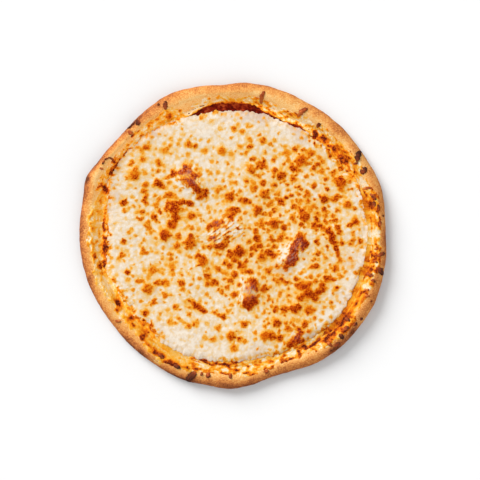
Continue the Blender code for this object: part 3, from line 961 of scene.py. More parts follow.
marks = toasted(warped, SPOTS) + strokes(torn, STROKES)
zone = bumps(flat[:, :2], ZONES)
heat = marks + FLECK_HEAT * toasted(warped, flecks) + CLOUD_HEAT * clouds
heat += ZONE_HEAT * zone + MOTTLE_HEAT * mottle
heat += TEAR_HEAT * smooth_step(tears, 0.05, 0.4) + HOLLOW_HEAT * smooth_step(-tears, 0.05, 0.4)
# The white edge: paler cheese, and painted light where the edge falls away from the key light
pale_and_painted_light_edge = white * (1.0 - smooth_step(from_edge + 2.5 * MM * warp_east, 3 * MM, 8 * MM))
heat += PALE_EDGE_HEAT * pale_and_painted_light_edge
tongues = smooth_step(roughness(flat, 6 * MM, 71.0, 3), -0.15, 0.2)
fried_edge = tongues * (1.0 - smooth_step(from_edge, 2 * MM, 7 * MM))
heat += FRINGE_HEAT * fried_edge * lobes_at(FRINGE_LOBES, bearing)
print("heat runs from", round(float(heat.min()), 2), "to", round(float(heat.max()), 2))

# %% [markdown]
# How brown is a field without a unit, but the photo tells how much of the sheet has each colour.
# So the field is replaced by its rank: 0 is the palest point, 0.5 the middle one, 1 the darkest. The
# ramp's stops can then stand at the shares at which the photo changes colour.

# %% From heat to rank
shares = np.linspace(0.0, 1.0, 201)
browning = np.interp(heat, np.quantile(heat[is_top], shares), shares)
print("the middle point has heat", round(float(np.median(heat[is_top])), 2))

# %% [markdown]
# ## Relief of the cheese
#
# The four large blisters and the browned bubbles are the same as in the solids, and the flecks get
# a bubble of their own a few tenths of a millimetre high. All of it could be a bump in the material,
# but real relief also holds from the side. Towards its edge the cheese thins out, so the red of the
# sauce tints it there: that share is stored too.

# %% Raise the cheese
# The fine relief is sunk by this much, so that its peaks end near the solid's own height, in mm
FINE_SINK = 0.3

fine = 0.5 * smooth_step(browning, 0.6, 1.0) + 0.3 * roughness(flat, 6 * MM, 19.0, 2)
fine += 0.12 * roughness(flat, 2.4 * MM, 29.0, 2) + 0.55 * tears
fine -= FINE_SINK
edge_thickness = CHEESE_EDGE_THICKNESS + 0.6 * MM * lap
full = (relief + fine) * MM + CHEESE_THICKNESS - edge_thickness
swell = np.sin(math.pi / 2.0 * np.clip(from_edge / CHEESE_EDGE_WIDTH, 0.0, 1.0))
height = np.where(is_top, CHEESE_UNDER + edge_thickness + full * swell, CHEESE_UNDER)
put_points(cheese.data, np.column_stack((flat[:, 0], flat[:, 1], height)))
report(cheese)

# %% Thin and ashen places
# Places where the cheese is thin and the sauce tints it: x, y, radius, amount in the photo
THIN_PLACES = (
    (245, 114, 8, 0.9), (262, 116, 9, 1.1), (225, 114, 8, 0.6), (295, 126, 7, 1.2), (302, 138, 8, 0.7),
    (115, 196, 7, 0.7), (108, 210, 5, 0.7), (112, 184, 5, 0.6), (107, 245, 4, 0.4), (160, 330, 7, 0.4),
    (150, 128, 8, 0.35), (250, 290, 6, 1.1), (222, 232, 10, 0.2), (233, 240, 8, 0.15),
    (281, 270, 9, 0.6), (290, 270, 7, 0.5), (350, 262, 9, 0.6), (354, 240, 8, 0.4), (340, 296, 8, 0.4),
    (258, 352, 9, 0.6), (243, 361, 6, 0.8), (308, 336, 6, 0.7), (316, 196, 8, 0.3), (200, 197, 7, 0.4),
    (186, 186, 5, 0.5), (155, 290, 4, 0.5), (160, 302, 3, 0.6), (232, 222, 5, 0.5), (116, 169, 6, 0.8),
    (152, 134, 7, 0.7), (135, 143, 6, 0.7),
)
# Greyish places inside the torn ridges, in the same terms
ASHEN_PLACES = (
    (299, 242, 4, 0.4), (297, 250, 5, 0.5), (293, 257, 4, 0.3), (288, 258, 5, 0.35), (249, 291, 5, 1.4),
    (186, 172, 6, 0.6), (194, 180, 5, 0.4), (219, 222, 6, 0.35), (214, 238, 6, 0.25),
    (296, 336, 5, 0.4),
)

thin = bumps(flat[:, :2], THIN_PLACES) + 0.2 * (1.0 - smooth_step(from_edge, 0.5 * MM, 4 * MM))
thin += 0.3 * (roughness(flat, 5 * MM, 83.0, 3) - 0.2) + 0.1 * smooth_step(-tears, 0.02, 0.4)
thin *= 0.8 - 0.8 * smooth_step(browning, 0.45, 0.75)
thin *= 1.0 - 0.8 * pale_and_painted_light_edge
thin += 0.6 * bumps(warped, ASHEN_PLACES) * smooth_step(tears + 0.4 * mottle_east, -0.1, 0.3)
store(cheese.data, "browning", browning)
# Painted light on the cheese: that of the slope below the key light, and more on its white edge
store(cheese.data, "painted_light", painted_light_at(radius, bearing) + 0.45 * pale_and_painted_light_edge)
store(cheese.data, "thin", np.clip(thin, 0.0, 1.0))
print("the sauce tints", round(100 * float((thin[is_top] > 0.3).mean())), "% of the cheese")

# %% [markdown]
# ## The fried lace on the rim
#
# Oil and cheese crept up the inner slope and fried there to an orange crust with a ragged edge. It
# is a thin ring laid on the dough. Its thickness is a field of noise that is raised inside the band
# and sinks below the dough outside it, so holes and fringes make themselves. The noise is drawn out
# along the rim, because the fried folds lie that way. Where the sauce is bare, the lace's inner edge
# is ragged and sinks into it.

# %% The lace's ring and its band
LACE_STEPS = 1300
LACE_POINTS = 26
LACE_SPREAD = 0.1
UPPER_LEVEL = 0.01
BAND_RADIUS = 160.6 * MM
# How far the lace runs past the radius of its band: bearing, half width, mm
BAND_LOBES = (
    (14, 6, 7.0),
    (32, 5, 5.0),
    (50, 6, 3.0),
    (68, 12, -5.0),
    (92, 9, 1.0),
    (109, 6, -6.0),
    (118, 4, 5.0),
    (131, 5, 1.5),
    (172, 20, 6.0),
    (196, 5, 4.0),
    (218, 10, -2.5),
    (240, 7, 6.4),
    (268, 8, -2.0),
    (289, 10, -5.0),
    (303, 5, -2.0),
    (318, 7, 7.5),
    (350, 30, 11.0),
)

lace_profile = []
for step in range(LACE_POINTS + 1):
    radius = FOOT_RADIUS * (1.0 + LACE_SPREAD * step / LACE_POINTS)
    lace_profile.append((radius, UPPER_LEVEL, step / LACE_POINTS))
for share in (1.0, 0.5, 0.0):
    lace_profile.append((FOOT_RADIUS * (1.0 + LACE_SPREAD * share), 0.0, share))
lace_profile.append(lace_profile[0])
lace = turned("fried_lace", lace_profile, LACE_STEPS)
plain = points_of(lace.data)
bearing = np.degrees(np.arctan2(plain[:, 1], plain[:, 0]))
mark = values_of(lace.data, "mark")
upper = plain[:, 2] > 0.5 * UPPER_LEVEL
print("points on the lace:", len(plain))

# %% Lay the lace
# The thickness and the sink are in mm
LACE_THICKNESS = 1.0
LACE_TUCK = 4.0 * MM
BARE_TUCK = 0.6 * MM
BARE_RAGGED = 1.3 * MM
BARE_SINK = 0.35
LACE_MARGIN = 4.0 * MM
LACE_DEPTH = 1.6 * MM
FOLD_CIRCLE = 24.0
FOLD_WIDTH = 3.2 * MM
# How far folds, blobs and crumbs push the outer edge in or out, in mm
FOLD_REACH = 2.6
BLOB_REACH = 2.8
CRUMB_REACH = 0.8

bare = bare_share(bearing)
under_cheese = cheese_radius(bearing) - LACE_TUCK
at_foot = foot_radius(bearing) - BARE_TUCK
inner = under_cheese * (1.0 - bare) + at_foot * bare
circle = to_frame(EDGE_CIRCLE, bearing, 0.0 * bearing)
inner += BARE_RAGGED * bare * roughness(circle, 5.0, 15.0, 3)
outer = BAND_RADIUS + MM * lobes_at(BAND_LOBES, bearing)
radius = inner + mark * (outer + LACE_MARGIN - inner)
ground = np.maximum(dough_top(radius, bearing), SAUCE_TOP)
flat = to_frame(radius, bearing, ground)
angle = np.radians(bearing)
wavy = np.column_stack((np.cos(angle) * FOLD_CIRCLE, np.sin(angle) * FOLD_CIRCLE, radius / FOLD_WIDTH))
folds = roughness(wavy, 1.0, 41.0, 3)
blobs = roughness(flat, 5.5 * MM, 51.0, 3)
crumbs = roughness(flat, 2.0 * MM, 57.0, 2)
reach = (outer - radius) / MM + FOLD_REACH * folds + BLOB_REACH * blobs + CRUMB_REACH * crumbs
inside = np.clip(0.35 * reach, 0.0, 1.0)
puffs = 0.5 * np.clip(0.35 + folds, 0.0, 1.0) + 0.5 * np.clip(0.3 + blobs, 0.0, 1.0) + 0.35 * crumbs
thickness = np.clip(0.3 * reach, -0.6, 0.3) + puffs * inside
thickness = thickness * LACE_THICKNESS * smooth_step(mark, -0.1 * (1.0 - bare), 0.08)
thickness -= BARE_SINK * bare * (1.0 - smooth_step(mark, 0.0, 0.06))
height = np.where(upper, ground + thickness * MM, ground - LACE_DEPTH)
put_points(lace.data, to_frame(radius, bearing, height))
report(lace)

# %% [markdown]
# How fried the lace is follows its own folds and blobs first, because what stands up browns. Around
# the rim some stretches are darker and some evenly golden, and the marks are the dark drops and pale
# gaps that the photo shows, placed one by one. The sum is made a rank again, as on the cheese.

# %% Where the lace is darker and more even
# Darker or paler stretches: bearing, half width, amount
FRY_AND_PAINTED_SHADE_AROUND = (
    (11, 9, 0.12),
    (39, 12, 0.1),
    (60, 8, 0.06),
    (73, 8, 0.04),
    (94, 12, -0.01),
    (107, 6, -0.12),
    (121, 9, 0.05),
    (140, 6, -0.07),
    (151, 5, 0.05),
    (163, 10, 0.02),
    (182, 12, 0.02),
    (201, 9, -0.02),
    (222, 10, 0.05),
    (240, 8, 0.01),
    (257, 8, 0.11),
    (272, 10, 0.05),
    (290, 7, 0.08),
    # Darker partly as painted shade, on the slope that faces the key light
    (300, 5, 0.1),
    (310, 12, 0.06),
    (322, 6, 0.12),
    (333, 8, 0.14),
    (347, 8, 0.08),
)
# Where the lace is evenly golden: bearing, half width, share
EVEN_LOBES = (
    (97, 14, 0.4),
    (120, 6, 0.3),
    (168, 12, 0.5),
    (200, 10, 0.5),
    (222, 16, 0.6),
    (243, 9, 0.6),
    (330, 10, 0.5),
    (12, 8, 0.15),
    (40, 8, 0.3),
)
print("stretches of the lace:", len(FRY_AND_PAINTED_SHADE_AROUND), "and even ones:", len(EVEN_LOBES))

# %% Drops and gaps in the lace
# Darker and paler places: bearing, distance, size along and across in mm, amount
LACE_MARKS = (
    (307, 156, 8, 1.7, 0.45), (313, 160, 8, 2.2, 0.45), (320, 161, 8, 1.9, 0.4), (324, 161, 4, 3, 0.3),
    (303, 153, 4, 3, 0.3), (306, 159, 4, 3, 0.1), (312, 164, 3, 6, 0.15), (316, 163, 5, 3, 0.2),
    (320, 169, 5, 5, 0.3), (326, 162, 7, 4, 0.1), (332, 156, 6, 2, 0.3), (333, 162, 9, 1.8, 0.25),
    (337, 167, 3, 4, 0.25), (342, 158, 5, 4, 0.15), (347, 161, 6, 6, 0.3), (351, 166, 5, 5, 0.25),
    (354, 165, 3, 4, 0.2), (346, 152, 6, 3, 0.2), (358, 158, 6, 5, 0.05), (1.5, 164.5, 4.5, 4.5, -0.35),
    (339.5, 166, 3, 5, -0.4), (349, 168, 2, 4, -0.35), (355.5, 166, 2.5, 4, 0.1),
    (2, 157.5, 9, 2, 0.15), (329, 167, 5, 3, -0.1), (5.5, 169, 5, 3, 0.25), (13, 161, 5, 8, 0.3),
    (10, 170, 6, 2.5, 0.3), (17, 156, 6, 4, 0.1), (23, 164, 5, 4, -0.45), (20, 158, 2, 7, 0.2),
    (29, 160, 5, 5, 0.1), (33, 157, 5, 3, 0.3), (37, 160, 8, 4, 0.15), (42, 155, 14, 3, 0.2),
    (48, 153, 8, 3, 0.25), (51.5, 153.5, 4, 2.6, 0.6), (47.5, 156, 5, 3, 0.25), (36, 154, 8, 3, 0.2),
    (45, 160, 8, 3, -0.1), (56, 158, 6, 5, -0.3), (60, 153, 5, 3, -0.15), (65, 155, 6, 4, 0.1),
    (72, 157, 8, 3, -0.1), (78, 154, 4, 4, 0.15), (90, 158, 16, 2, 0.05), (98, 160, 9, 2, 0.08),
    (106, 157, 10, 2, -0.05), (115, 159, 5, 3, 0.1), (118, 157, 3, 3, 0.25), (115, 152, 4, 5, 0.05),
    (128, 169, 4, 3.5, 0.35), (131, 167, 5, 3, 0.1), (132.5, 164, 3, 4, 0.25), (135.5, 165, 4, 5, 0.3),
    (130, 160, 4, 3, -0.15), (133, 161, 3, 3, -0.2), (129, 155, 9, 3, 0.05),
    (141.5, 157.5, 6, 1.8, 0.55), (146, 162, 4, 8, 0.15), (148, 165, 3, 5, 0.3), (148, 157, 5, 3, 0.25),
    (151.5, 158, 4, 3, 0.55), (154, 161, 7, 2, 0.2), (159, 162, 3, 4, 0.35), (160, 157, 4, 4, 0.3),
    (163, 157, 5, 2.5, 0.1), (166, 159, 7, 3, 0.05), (172, 151, 12, 2, 0.25), (178, 150, 10, 2, 0.3),
    (185, 149, 9, 3.4, 0.4), (188, 161, 4, 2.5, 0.3), (187, 152, 6, 2, 0.2), (191.5, 154, 4, 4, 0.4),
    (193, 156, 3, 4, 0.4), (190, 157, 2, 6, -0.2), (196, 158, 3, 2, 0.15), (205, 146, 2.5, 2, 0.4),
    (210, 154.5, 4.5, 2.6, 0.55), (212.5, 159, 3.5, 2, 0.4), (210, 151.5, 8, 3, 0.2),
    (218.7, 151.5, 3, 3.4, 0.45), (222, 154, 3, 1.6, 0.35), (220, 147, 14, 3, 0.1),
    (228, 156.5, 3.5, 3.4, 0.45), (227, 149, 8, 5, 0.2), (229, 142.5, 5, 2.2, 0.45),
    (231, 159, 8, 2, 0.25), (236.5, 161, 4.5, 3, 0.5), (239.5, 160, 4, 2.6, 0.5),
    (242, 165, 4.5, 2.4, 0.6), (246, 163.5, 6.5, 3, 0.6), (243.5, 161, 3, 3, 0.3),
    (233, 152, 14, 4, 0.02), (253, 158, 4, 4, 0.3), (255, 152, 6, 3, -0.25), (255.5, 148, 6, 1.4, 0.4),
    (260, 151, 7, 1.2, 0.35), (263, 149, 6, 1.4, 0.4), (268, 149, 9, 1.6, 0.35), (272, 146, 4, 2, 0.3),
    (276, 160, 4, 3, 0.3), (280, 158, 5, 2.4, 0.25), (283.5, 160, 4, 4, 0.35), (287, 157, 3, 2, 0.2),
    (289, 152, 8, 4, -0.05), (291, 157, 5, 2.6, 0.25), (295, 157, 7, 1.6, 0.4), (298, 152, 5, 4, -0.5),
    (299.5, 154, 2.5, 3.4, 0.55), (296, 146, 4, 2, 0.3), (310, 150, 9, 3, -0.05),
    (318, 153, 9, 3, -0.08),
)
print(len(LACE_MARKS), "marks on the lace")

# %% Fry the lace
FOLD_FRY = 0.3
BLOB_FRY = 0.26
CRUMB_FRY = 0.08
BARE_FRY = 0.3
FRINGE_FRY = 0.02
MOST_EVEN = 0.8

even = np.clip(lobes_at(EVEN_LOBES, bearing), 0.0, MOST_EVEN)
uneven = FOLD_FRY * folds + BLOB_FRY * blobs + CRUMB_FRY * crumbs
fry_and_painted_shade = uneven * (1.0 - even) + lobes_at(FRY_AND_PAINTED_SHADE_AROUND, bearing)
fry_and_painted_shade += BARE_FRY * bare * (1.0 - smooth_step(mark, 0.02, 0.3))
fry_and_painted_shade += spots_around(LACE_MARKS, radius, bearing) - FRINGE_FRY * smooth_step(reach, 1.5, -0.5)
seen = upper & (reach > 0.0)
store(lace.data, "fry_and_painted_shade", np.interp(fry_and_painted_shade, np.quantile(fry_and_painted_shade[seen], shares), shares))
# Painted light on the lace below the key light, and painted shade across from it
store(lace.data, "painted_light", painted_light_at(radius, bearing))
print("points of the lace that show:", int(seen.sum()))

# %% [markdown]
# ## Burnt shreds on the rim
#
# Shreds that missed the middle lay dry on the dough and burnt. Each is a slim, slightly bent
# ellipsoid: a small sphere stretched to its length and width and laid along the dough, so it bends
# over the crest by itself. Chance could scatter them, but the photo shows each one in its own place,
# so it gives the place, size, lean and colour.

# %% Where the shreds lie
# Bearing, distance from the middle, length and width in mm, lean in degrees, and how burnt
SHREDS = (
    (78, 164.4, 15.0, 4.2, -2, 0.36), (60.8, 164.8, 14.8, 4.6, -21, 0.38),
    (52.4, 162.0, 6.0, 3.8, 0, 0.6), (32.7, 172.0, 14.4, 5.4, 37, 0.85),
    (26.7, 169.0, 9.6, 5.8, 24, 0.75), (19.7, 164.7, 10.7, 3.0, -13, 0.3),
    (15.8, 168.3, 10.0, 4.5, -65, 0.6), (353, 172.0, 11.8, 4.4, 22, 0.55),
    (346.8, 174.5, 13.4, 5.2, -30, 0.75), (344.4, 163.9, 9.0, 4.0, -8, 0.5),
    (338.2, 166.0, 6.5, 3.0, 20, 0.26), (324.1, 163.5, 6.5, 3.8, 5, 0.65),
    (321, 168.2, 8.0, 4.4, 60, 0.5), (317.4, 170.0, 7.4, 4.6, -2, 0.8), (284, 160.5, 5.5, 4.2, 0, 0.42),
    (269, 161.0, 6.5, 3.6, 5, 0.5), (259.9, 162.6, 6.8, 4.8, 0, 0.5),
    (253.5, 169.0, 16.0, 7.4, -23, 0.78), (246.6, 163.0, 10.0, 4.2, 75, 0.75),
    (239, 161.0, 9.0, 4.2, 80, 0.6), (216.4, 164.6, 7.0, 2.8, -30, 0.24),
    (134.6, 168.5, 7.5, 4.0, 10, 0.4), (129.8, 171.0, 6.0, 5.0, 60, 0.75),
    (117.2, 170.0, 11.0, 4.2, -27, 0.6), (12.9, 167.0, 7.0, 3.6, 80, 0.6),
    (11.3, 171.2, 7.0, 3.0, 85, 0.55), (5.2, 170.5, 6.0, 3.2, 85, 0.45),
    (7.8, 175.4, 2.5, 2.4, 0, 0.85), (350, 166.8, 6.0, 2.6, -10, 0.35),
    (342.5, 169.5, 6.5, 3.4, 0, 0.6), (336.2, 169.2, 6.0, 2.4, 5, 0.28), (335, 176.5, 2.6, 2.4, 0, 0.8),
    (324.3, 173.6, 6.0, 3.4, 70, 0.65), (327.3, 176.5, 4.0, 3.0, 60, 0.8),
    (314, 173.5, 8.0, 3.4, 80, 0.6), (312, 167.0, 8.0, 3.2, 5, 0.4), (257.2, 162.6, 4.8, 2.6, 0, 0.6),
    (119.4, 174.8, 3.2, 2.6, 0, 0.8), (132.5, 174.5, 12.0, 1.6, 88, 0.8),
    (147.4, 167.0, 7.0, 1.8, 12, 0.55), (148.5, 171.2, 5.0, 1.8, 55, 0.65),
    (150.2, 172.2, 5.5, 2.0, 88, 0.65), (152.7, 170.4, 5.0, 2.0, 10, 0.3),
    (30.8, 165.0, 6.0, 2.6, -20, 0.55), (355, 166.0, 5.0, 2.4, 8, 0.35),
)
print(len(SHREDS), "shreds on the rim")

# %% Lay the shreds
# The thickness and the rise are in mm, and the rest are shares
SHRED_THICKNESS = 2.0
SHRED_RISE = 0.35
SHRED_BEND = 0.12
WIDTH_WOBBLE = 0.8
HEIGHT_WOBBLE = 0.3
CHAR_WOBBLE = 0.3
CHAR_TIP = 0.5

shape = bmesh.new()
char = shape.verts.layers.float.new("char")
for bearing_at, distance, length, width, lean, burnt in SHREDS:
    made = bmesh.ops.create_uvsphere(shape, u_segments=18, v_segments=20, radius=0.5)["verts"]
    local = np.array([vertex.co[:] for vertex in made])
    wobble = roughness(local + bearing_at, 0.2, 5.0, 3)
    bend_side = 1.0 if int(distance) % 2 else -1.0
    bend = SHRED_BEND * length * (4.0 * local[:, 2] ** 2 - 0.5) * bend_side
    across = local[:, 0] * width * (1.0 + WIDTH_WOBBLE * wobble) + bend * 0.5
    along = local[:, 2] * length
    up = local[:, 1] * SHRED_THICKNESS * (1.0 + HEIGHT_WOBBLE * wobble) + SHRED_RISE
    turn = math.radians(lean)
    outward = along * math.cos(turn) - across * math.sin(turn)
    sideways = along * math.sin(turn) + across * math.cos(turn)
    radius = (distance + outward) * MM
    bearing = bearing_at + np.degrees(sideways * MM / radius)
    laid = to_frame(radius, bearing, dough_top(radius, bearing) + up * MM)
    for vertex, place, rough, tip in zip(made, laid, wobble, local[:, 2]):
        vertex.co = place
        vertex[char] = burnt + CHAR_WOBBLE * rough + CHAR_TIP * tip
shreds = piece_of(shape, "burnt_shreds")
report(shreds)

# %% [markdown]
# ## Grain that several finishes share
#
# Dough, lace and cheese all vary in patches of a few millimetres and in grains of about one. That is
# one node group: it gives both as numbers around zero, and a height for the bump. Each material
# places it with its own sizes.

# %% Short ways to add nodes
def add_node(tree, kind, inputs, **settings):
    """Adds a node; an input is a value or another node's socket."""
    made = tree.nodes.new(kind)
    for name, value in settings.items():
        setattr(made, name, value)
    for socket, value in inputs.items():
        if isinstance(value, bpy.types.NodeSocket):
            tree.links.new(value, made.inputs[socket])
        else:
            made.inputs[socket].default_value = value
    return made


def sum_of(tree, *terms):
    """Adds up (socket, factor) pairs."""
    total = 0.0
    for socket, factor in terms:
        inputs = {0: socket, 1: factor, 2: total}
        total = add_node(tree, "ShaderNodeMath", inputs, operation="MULTIPLY_ADD").outputs[0]
    return total


print("materials before the finishes:", len(bpy.data.materials))

# %% A group for patches and grain
grain_group = bpy.data.node_groups.new("baked grain", "ShaderNodeTree")
for label, size in (("Patch size", 12 * MM), ("Grain size", 1.2 * MM)):
    socket = grain_group.interface.new_socket(label, in_out="INPUT", socket_type="NodeSocketFloat")
    socket.default_value = size
for label in ("Patches", "Grain", "Height"):
    grain_group.interface.new_socket(label, in_out="OUTPUT", socket_type="NodeSocketFloat")
inlet = grain_group.nodes.new("NodeGroupInput")
outlet = grain_group.nodes.new("NodeGroupOutput")
where = grain_group.nodes.new("ShaderNodeTexCoord").outputs["Object"]
for number, (label, detail, rough) in enumerate((("Patches", 4.0, 0.6), ("Grain", 3.0, 0.6))):
    scale = add_node(grain_group, "ShaderNodeMath", {0: 1.0, 1: inlet.outputs[number]}, operation="DIVIDE")
    inputs = {"Vector": where, "Scale": scale.outputs[0], "Detail": detail, "Roughness": rough}
    cloud = add_node(grain_group, "ShaderNodeTexNoise", inputs).outputs["Fac"]
    centred = add_node(grain_group, "ShaderNodeMath", {0: cloud, 1: 0.5}, operation="SUBTRACT").outputs[0]
    grain_group.links.new(centred, outlet.inputs[label])
    if label == "Grain":
        grain_group.links.new(cloud, outlet.inputs["Height"])
print("group:", [item.name for item in grain_group.interface.items_tree])

# %% [markdown]
# ## Finishes
#
# Each finish is the same small recipe: a number from the mesh says how baked the point is, the
# grain group unsettles it, and a colour ramp turns it into a colour. The stops run from pale to dark
# as a painter would mix them, in eight-bit red, green and blue. Painted light then makes the side
# below the key light a little paler, and painted shade the side across from it a little darker. A
# picture laid over the mesh would be quicker, but it would bring its own light and blur close up.
# What differs is the gloss: dough is dry, cheese is oily where it is pale, sauce is wet.

# %% Ramps and a recipe
BRIGHTNESS = 1.5
GLINT = 0.025
# What full painted light adds to red, green and blue, as a share of each; painted shade takes away
PAINTED_LIGHT_SHARES = (0.55, 0.46, 0.32)


def colour(red, green, blue):
    """A colour seen in the photo to the linear values that a shader needs under this light."""
    shares = [channel / 255.0 for channel in (red, green, blue)]
    linear = [share / 12.92 if share <= 0.04045 else ((share + 0.055) / 1.055) ** 2.4 for share in shares]
    return (*[value / BRIGHTNESS for value in linear], 1.0)


def ramp(tree, factor, stops):
    node = add_node(tree, "ShaderNodeValToRGB", {"Fac": factor})
    elements = node.color_ramp.elements
    while len(elements) < len(stops):
        elements.new(1.0)
    for element, (position, tint) in zip(elements, stops):
        element.position = position
        element.color = colour(*tint)
    return node.outputs["Color"]


print("a mid grey of the photo is", round(colour(128, 128, 128)[0], 3), "in the shader")

# %% The recipe for a finish
def baked_finish(name, attribute, stops, patch, grain, unsettle, bump, dull):
    """A Principled material whose colour follows an attribute through a ramp.

    Patch and grain are sizes, and unsettle holds how far each moves the attribute. Bump is the
    grain's height. Dull holds the roughness where the surface is pale and where it is dark.
    """
    material = bpy.data.materials.new(name)
    material.use_nodes = True
    tree = material.node_tree
    shader = tree.nodes["Principled BSDF"]
    shader.inputs["Specular IOR Level"].default_value = GLINT
    level = add_node(tree, "ShaderNodeAttribute", {}, attribute_name=attribute).outputs["Fac"]
    group = add_node(tree, "ShaderNodeGroup", {}, node_tree=grain_group)
    group.inputs["Patch size"].default_value = patch
    group.inputs["Grain size"].default_value = grain
    terms = ((group.outputs["Patches"], unsettle[0]), (group.outputs["Grain"], unsettle[1]), (level, 1.0))
    level = sum_of(tree, *terms)
    tint = ramp(tree, level, stops)
    # Painted light from the mesh makes the colour paler, and painted shade makes it darker
    painted_light = add_node(tree, "ShaderNodeAttribute", {}, attribute_name="painted_light").outputs["Fac"]
    painted_light_added = add_node(tree, "ShaderNodeVectorMath", {0: PAINTED_LIGHT_SHARES, 1: painted_light}, operation="MULTIPLY").outputs[0]
    inputs = {0: tint, 1: painted_light_added, 2: tint}
    tint = add_node(tree, "ShaderNodeVectorMath", inputs, operation="MULTIPLY_ADD").outputs[0]
    tree.links.new(tint, shader.inputs["Base Color"])
    shine = add_node(tree, "ShaderNodeMapRange", {"Value": level, "To Min": dull[0], "To Max": dull[1]})
    tree.links.new(shine.outputs["Result"], shader.inputs["Roughness"])
    relief = add_node(tree, "ShaderNodeBump", {"Height": group.outputs["Height"], "Distance": bump})
    tree.links.new(relief.outputs["Normal"], shader.inputs["Normal"])
    print(name, "reads", attribute, "through", len(stops), "colours")
    return material, tree, shader, tint


# %% Dough
DOUGH_STOPS = (
    (0.0, (247, 204, 138)),
    (0.24, (240, 176, 98)),
    (0.4, (230, 152, 78)),
    (0.55, (206, 124, 62)),
    (0.7, (170, 96, 54)),
    (0.85, (124, 66, 38)),
    (1.0, (76, 40, 26)),
)
dough_finish, *_ = baked_finish(
    "baked dough", "bake_and_painted_light", DOUGH_STOPS,
    patch=6 * MM, grain=1.3 * MM, unsettle=(0.45, 1.2), bump=0.4 * MM, dull=(0.55, 0.75),
)
crust.data.materials.append(dough_finish)

# %% Cheese
CHEESE_STOPS = (
    (0.0, (241, 228, 209)),
    (0.1, (234, 217, 195)),
    (0.24, (234, 207, 168)),
    (0.38, (236, 200, 143)),
    (0.5, (238, 190, 112)),
    (0.61, (239, 176, 74)),
    (0.71, (236, 157, 36)),
    (0.82, (228, 126, 8)),
    (0.92, (208, 82, 2)),
    (0.98, (166, 42, 0)),
    (1.0, (124, 24, 0)),
)
THIN_TINT = (212, 184, 164)
cheese_finish, tree, shader, tint = baked_finish(
    "melted cheese", "browning", CHEESE_STOPS,
    patch=3 * MM, grain=1.2 * MM, unsettle=(0.3, 0.75), bump=0.3 * MM, dull=(0.4, 0.6),
)
thin_share = add_node(tree, "ShaderNodeAttribute", {}, attribute_name="thin").outputs["Fac"]
# A Mix node's colours are its inputs 6 and 7 and its output 2
inputs = {0: thin_share, 6: tint, 7: colour(*THIN_TINT)}
mixed = add_node(tree, "ShaderNodeMix", inputs, data_type="RGBA")
tree.links.new(mixed.outputs[2], shader.inputs["Base Color"])
cheese.data.materials.append(cheese_finish)

# %% Lace
LACE_STOPS = (
    (0.0, (244, 226, 196)),
    (0.05, (240, 211, 166)),
    (0.14, (240, 196, 120)),
    (0.27, (242, 184, 84)),
    (0.4, (243, 171, 52)),
    (0.56, (241, 152, 26)),
    (0.7, (230, 126, 20)),
    (0.84, (208, 94, 14)),
    (0.94, (152, 50, 12)),
    (1.0, (88, 30, 16)),
)
lace_finish, *_ = baked_finish(
    "fried cheese", "fry_and_painted_shade", LACE_STOPS,
    patch=3.5 * MM, grain=1.2 * MM, unsettle=(0.5, 0.7), bump=0.4 * MM, dull=(0.35, 0.5),
)
lace.data.materials.append(lace_finish)

# %% Shreds and sauce
SHRED_STOPS = (
    (0.0, (226, 140, 66)),
    (0.3, (200, 98, 46)),
    (0.55, (150, 68, 36)),
    (0.8, (104, 54, 36)),
    (1.0, (66, 38, 30)),
)
shred_finish, *_ = baked_finish(
    "burnt shreds", "char", SHRED_STOPS,
    patch=3 * MM, grain=1.0 * MM, unsettle=(0.6, 0.6), bump=0.3 * MM, dull=(0.5, 0.7),
)
shreds.data.materials.append(shred_finish)

SAUCE_STOPS = (
    (0.0, (64, 16, 8)),
    (0.3, (100, 16, 4)),
    (0.55, (136, 30, 8)),
    (1.0, (196, 84, 34)),
)
# Set high partly as painted light, against the shade of the recess that the sauce lies in
SAUCE_MIDDLE = 0.49
SAUCE_SPREAD = 1.1
store(sauce.data, "mark", SAUCE_MIDDLE + SAUCE_SPREAD * grain / MM)
sauce_finish, *_ = baked_finish(
    "tomato sauce", "mark", SAUCE_STOPS,
    patch=5 * MM, grain=1.3 * MM, unsettle=(0.8, 0.8), bump=0.4 * MM, dull=(0.25, 0.4),
)
sauce.data.materials.append(sauce_finish)

# %% [markdown]
# ## Tie the pieces to the frame
#
# The pizza has no joints, so everything rides on its one body. The crust's fine skin, with the lace
# and the shreds, stands for the solid crust; the fine sauce and cheese stand for theirs.

# %% Ride and replace
for piece in (crust, lace, shreds, sauce, cheese):
    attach(piece, "root")
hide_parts("crust")
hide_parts("sauce")
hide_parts("cheese")

# %% [markdown]
# ## Table, light and camera
#
# The photo is a plain product shot: white ground, one soft light from the upper left, and much
# light from all around. A wide sun gives the soft shadow at the lower right, a weak and still wider
# one lights the rim from across, and an even white world fills the shadow to a light grey. An area
# light would do too, but a sun's width alone sets how soft its shadow is. The camera looks straight
# down from far enough away that the rim hardly leans.

# %% Floor and world
FLOOR_SIZE = 40.0
FLOOR_GREY = 0.615
floor_shape = bmesh.new()
bmesh.ops.create_grid(floor_shape, x_segments=1, y_segments=1, size=FLOOR_SIZE / 2.0)
floor = piece_of(floor_shape, "floor")
floor_finish = bpy.data.materials.new("white table")
floor_finish.use_nodes = True
floor_shader = floor_finish.node_tree.nodes["Principled BSDF"]
floor_shader.inputs["Base Color"].default_value = (FLOOR_GREY, FLOOR_GREY, FLOOR_GREY, 1.0)
floor_shader.inputs["Roughness"].default_value = 0.8
floor.data.materials.append(floor_finish)

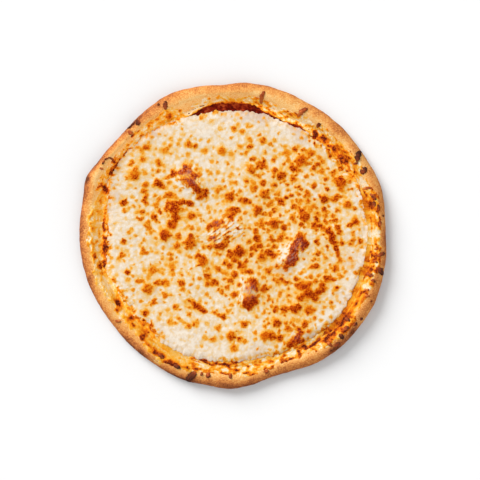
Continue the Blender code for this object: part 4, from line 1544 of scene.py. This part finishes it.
WORLD_SHARE = 0.67
world = bpy.data.worlds.new("studio")
world.use_nodes = True
world.node_tree.nodes["Background"].inputs["Color"].default_value = (1.0, 1.0, 1.0, 1.0)
world.node_tree.nodes["Background"].inputs["Strength"].default_value = WORLD_SHARE
bpy.context.scene.world = world
bpy.context.scene.view_settings.view_transform = "Standard"
print("floor of", FLOOR_SIZE, "m under a world of", WORLD_SHARE)

# %% Key and fill
KEY_BEARING = 131.0
KEY_ELEVATION = 32.0
KEY_SHARE = 0.78
KEY_WIDTH = 34.0
FILL_ELEVATION = 35.0
FILL_SHARE = 0.17
FILL_WIDTH = 60.0


def add_sun(name, bearing, elevation, share, width):
    """A soft sun that gives a level surface its share of the light."""
    data = bpy.data.lights.new(name, "SUN")
    data.angle = math.radians(width)
    data.energy = math.pi * share / math.sin(math.radians(elevation))
    sun = bpy.data.objects.new(name, data)
    level = math.cos(math.radians(elevation))
    height = math.sin(math.radians(elevation))
    angle = math.radians(bearing)
    sun.location = (level * math.cos(angle), level * math.sin(angle), height)
    sun.rotation_euler = sun.location.to_track_quat("Z", "Y").to_euler()
    bpy.context.scene.collection.objects.link(sun)


add_sun("key", KEY_BEARING, KEY_ELEVATION, KEY_SHARE, KEY_WIDTH)
add_sun("fill", KEY_BEARING + 180.0, FILL_ELEVATION, FILL_SHARE, FILL_WIDTH)
print("light on a level surface:", round(KEY_SHARE + FILL_SHARE + WORLD_SHARE, 2))

# %% Camera
CAMERA_HEIGHT = 1.5
SENSOR_WIDTH = 36.0
shown_width = PHOTO_WIDTH * PHOTO_SCALE
camera_data = bpy.data.cameras.new("camera")
camera_data.sensor_width = SENSOR_WIDTH
camera_data.lens = SENSOR_WIDTH * (CAMERA_HEIGHT - WIDEST_HEIGHT) / shown_width
camera = bpy.data.objects.new("camera", camera_data)
camera.location = (*photo_middle, CAMERA_HEIGHT)
bpy.context.scene.collection.objects.link(camera)
bpy.context.scene.camera = camera
print("camera over", np.round(photo_middle / MM, 1).tolist(), "mm, lens", round(camera_data.lens, 1), "mm")

# %% Update the scene
bpy.context.view_layer.update()
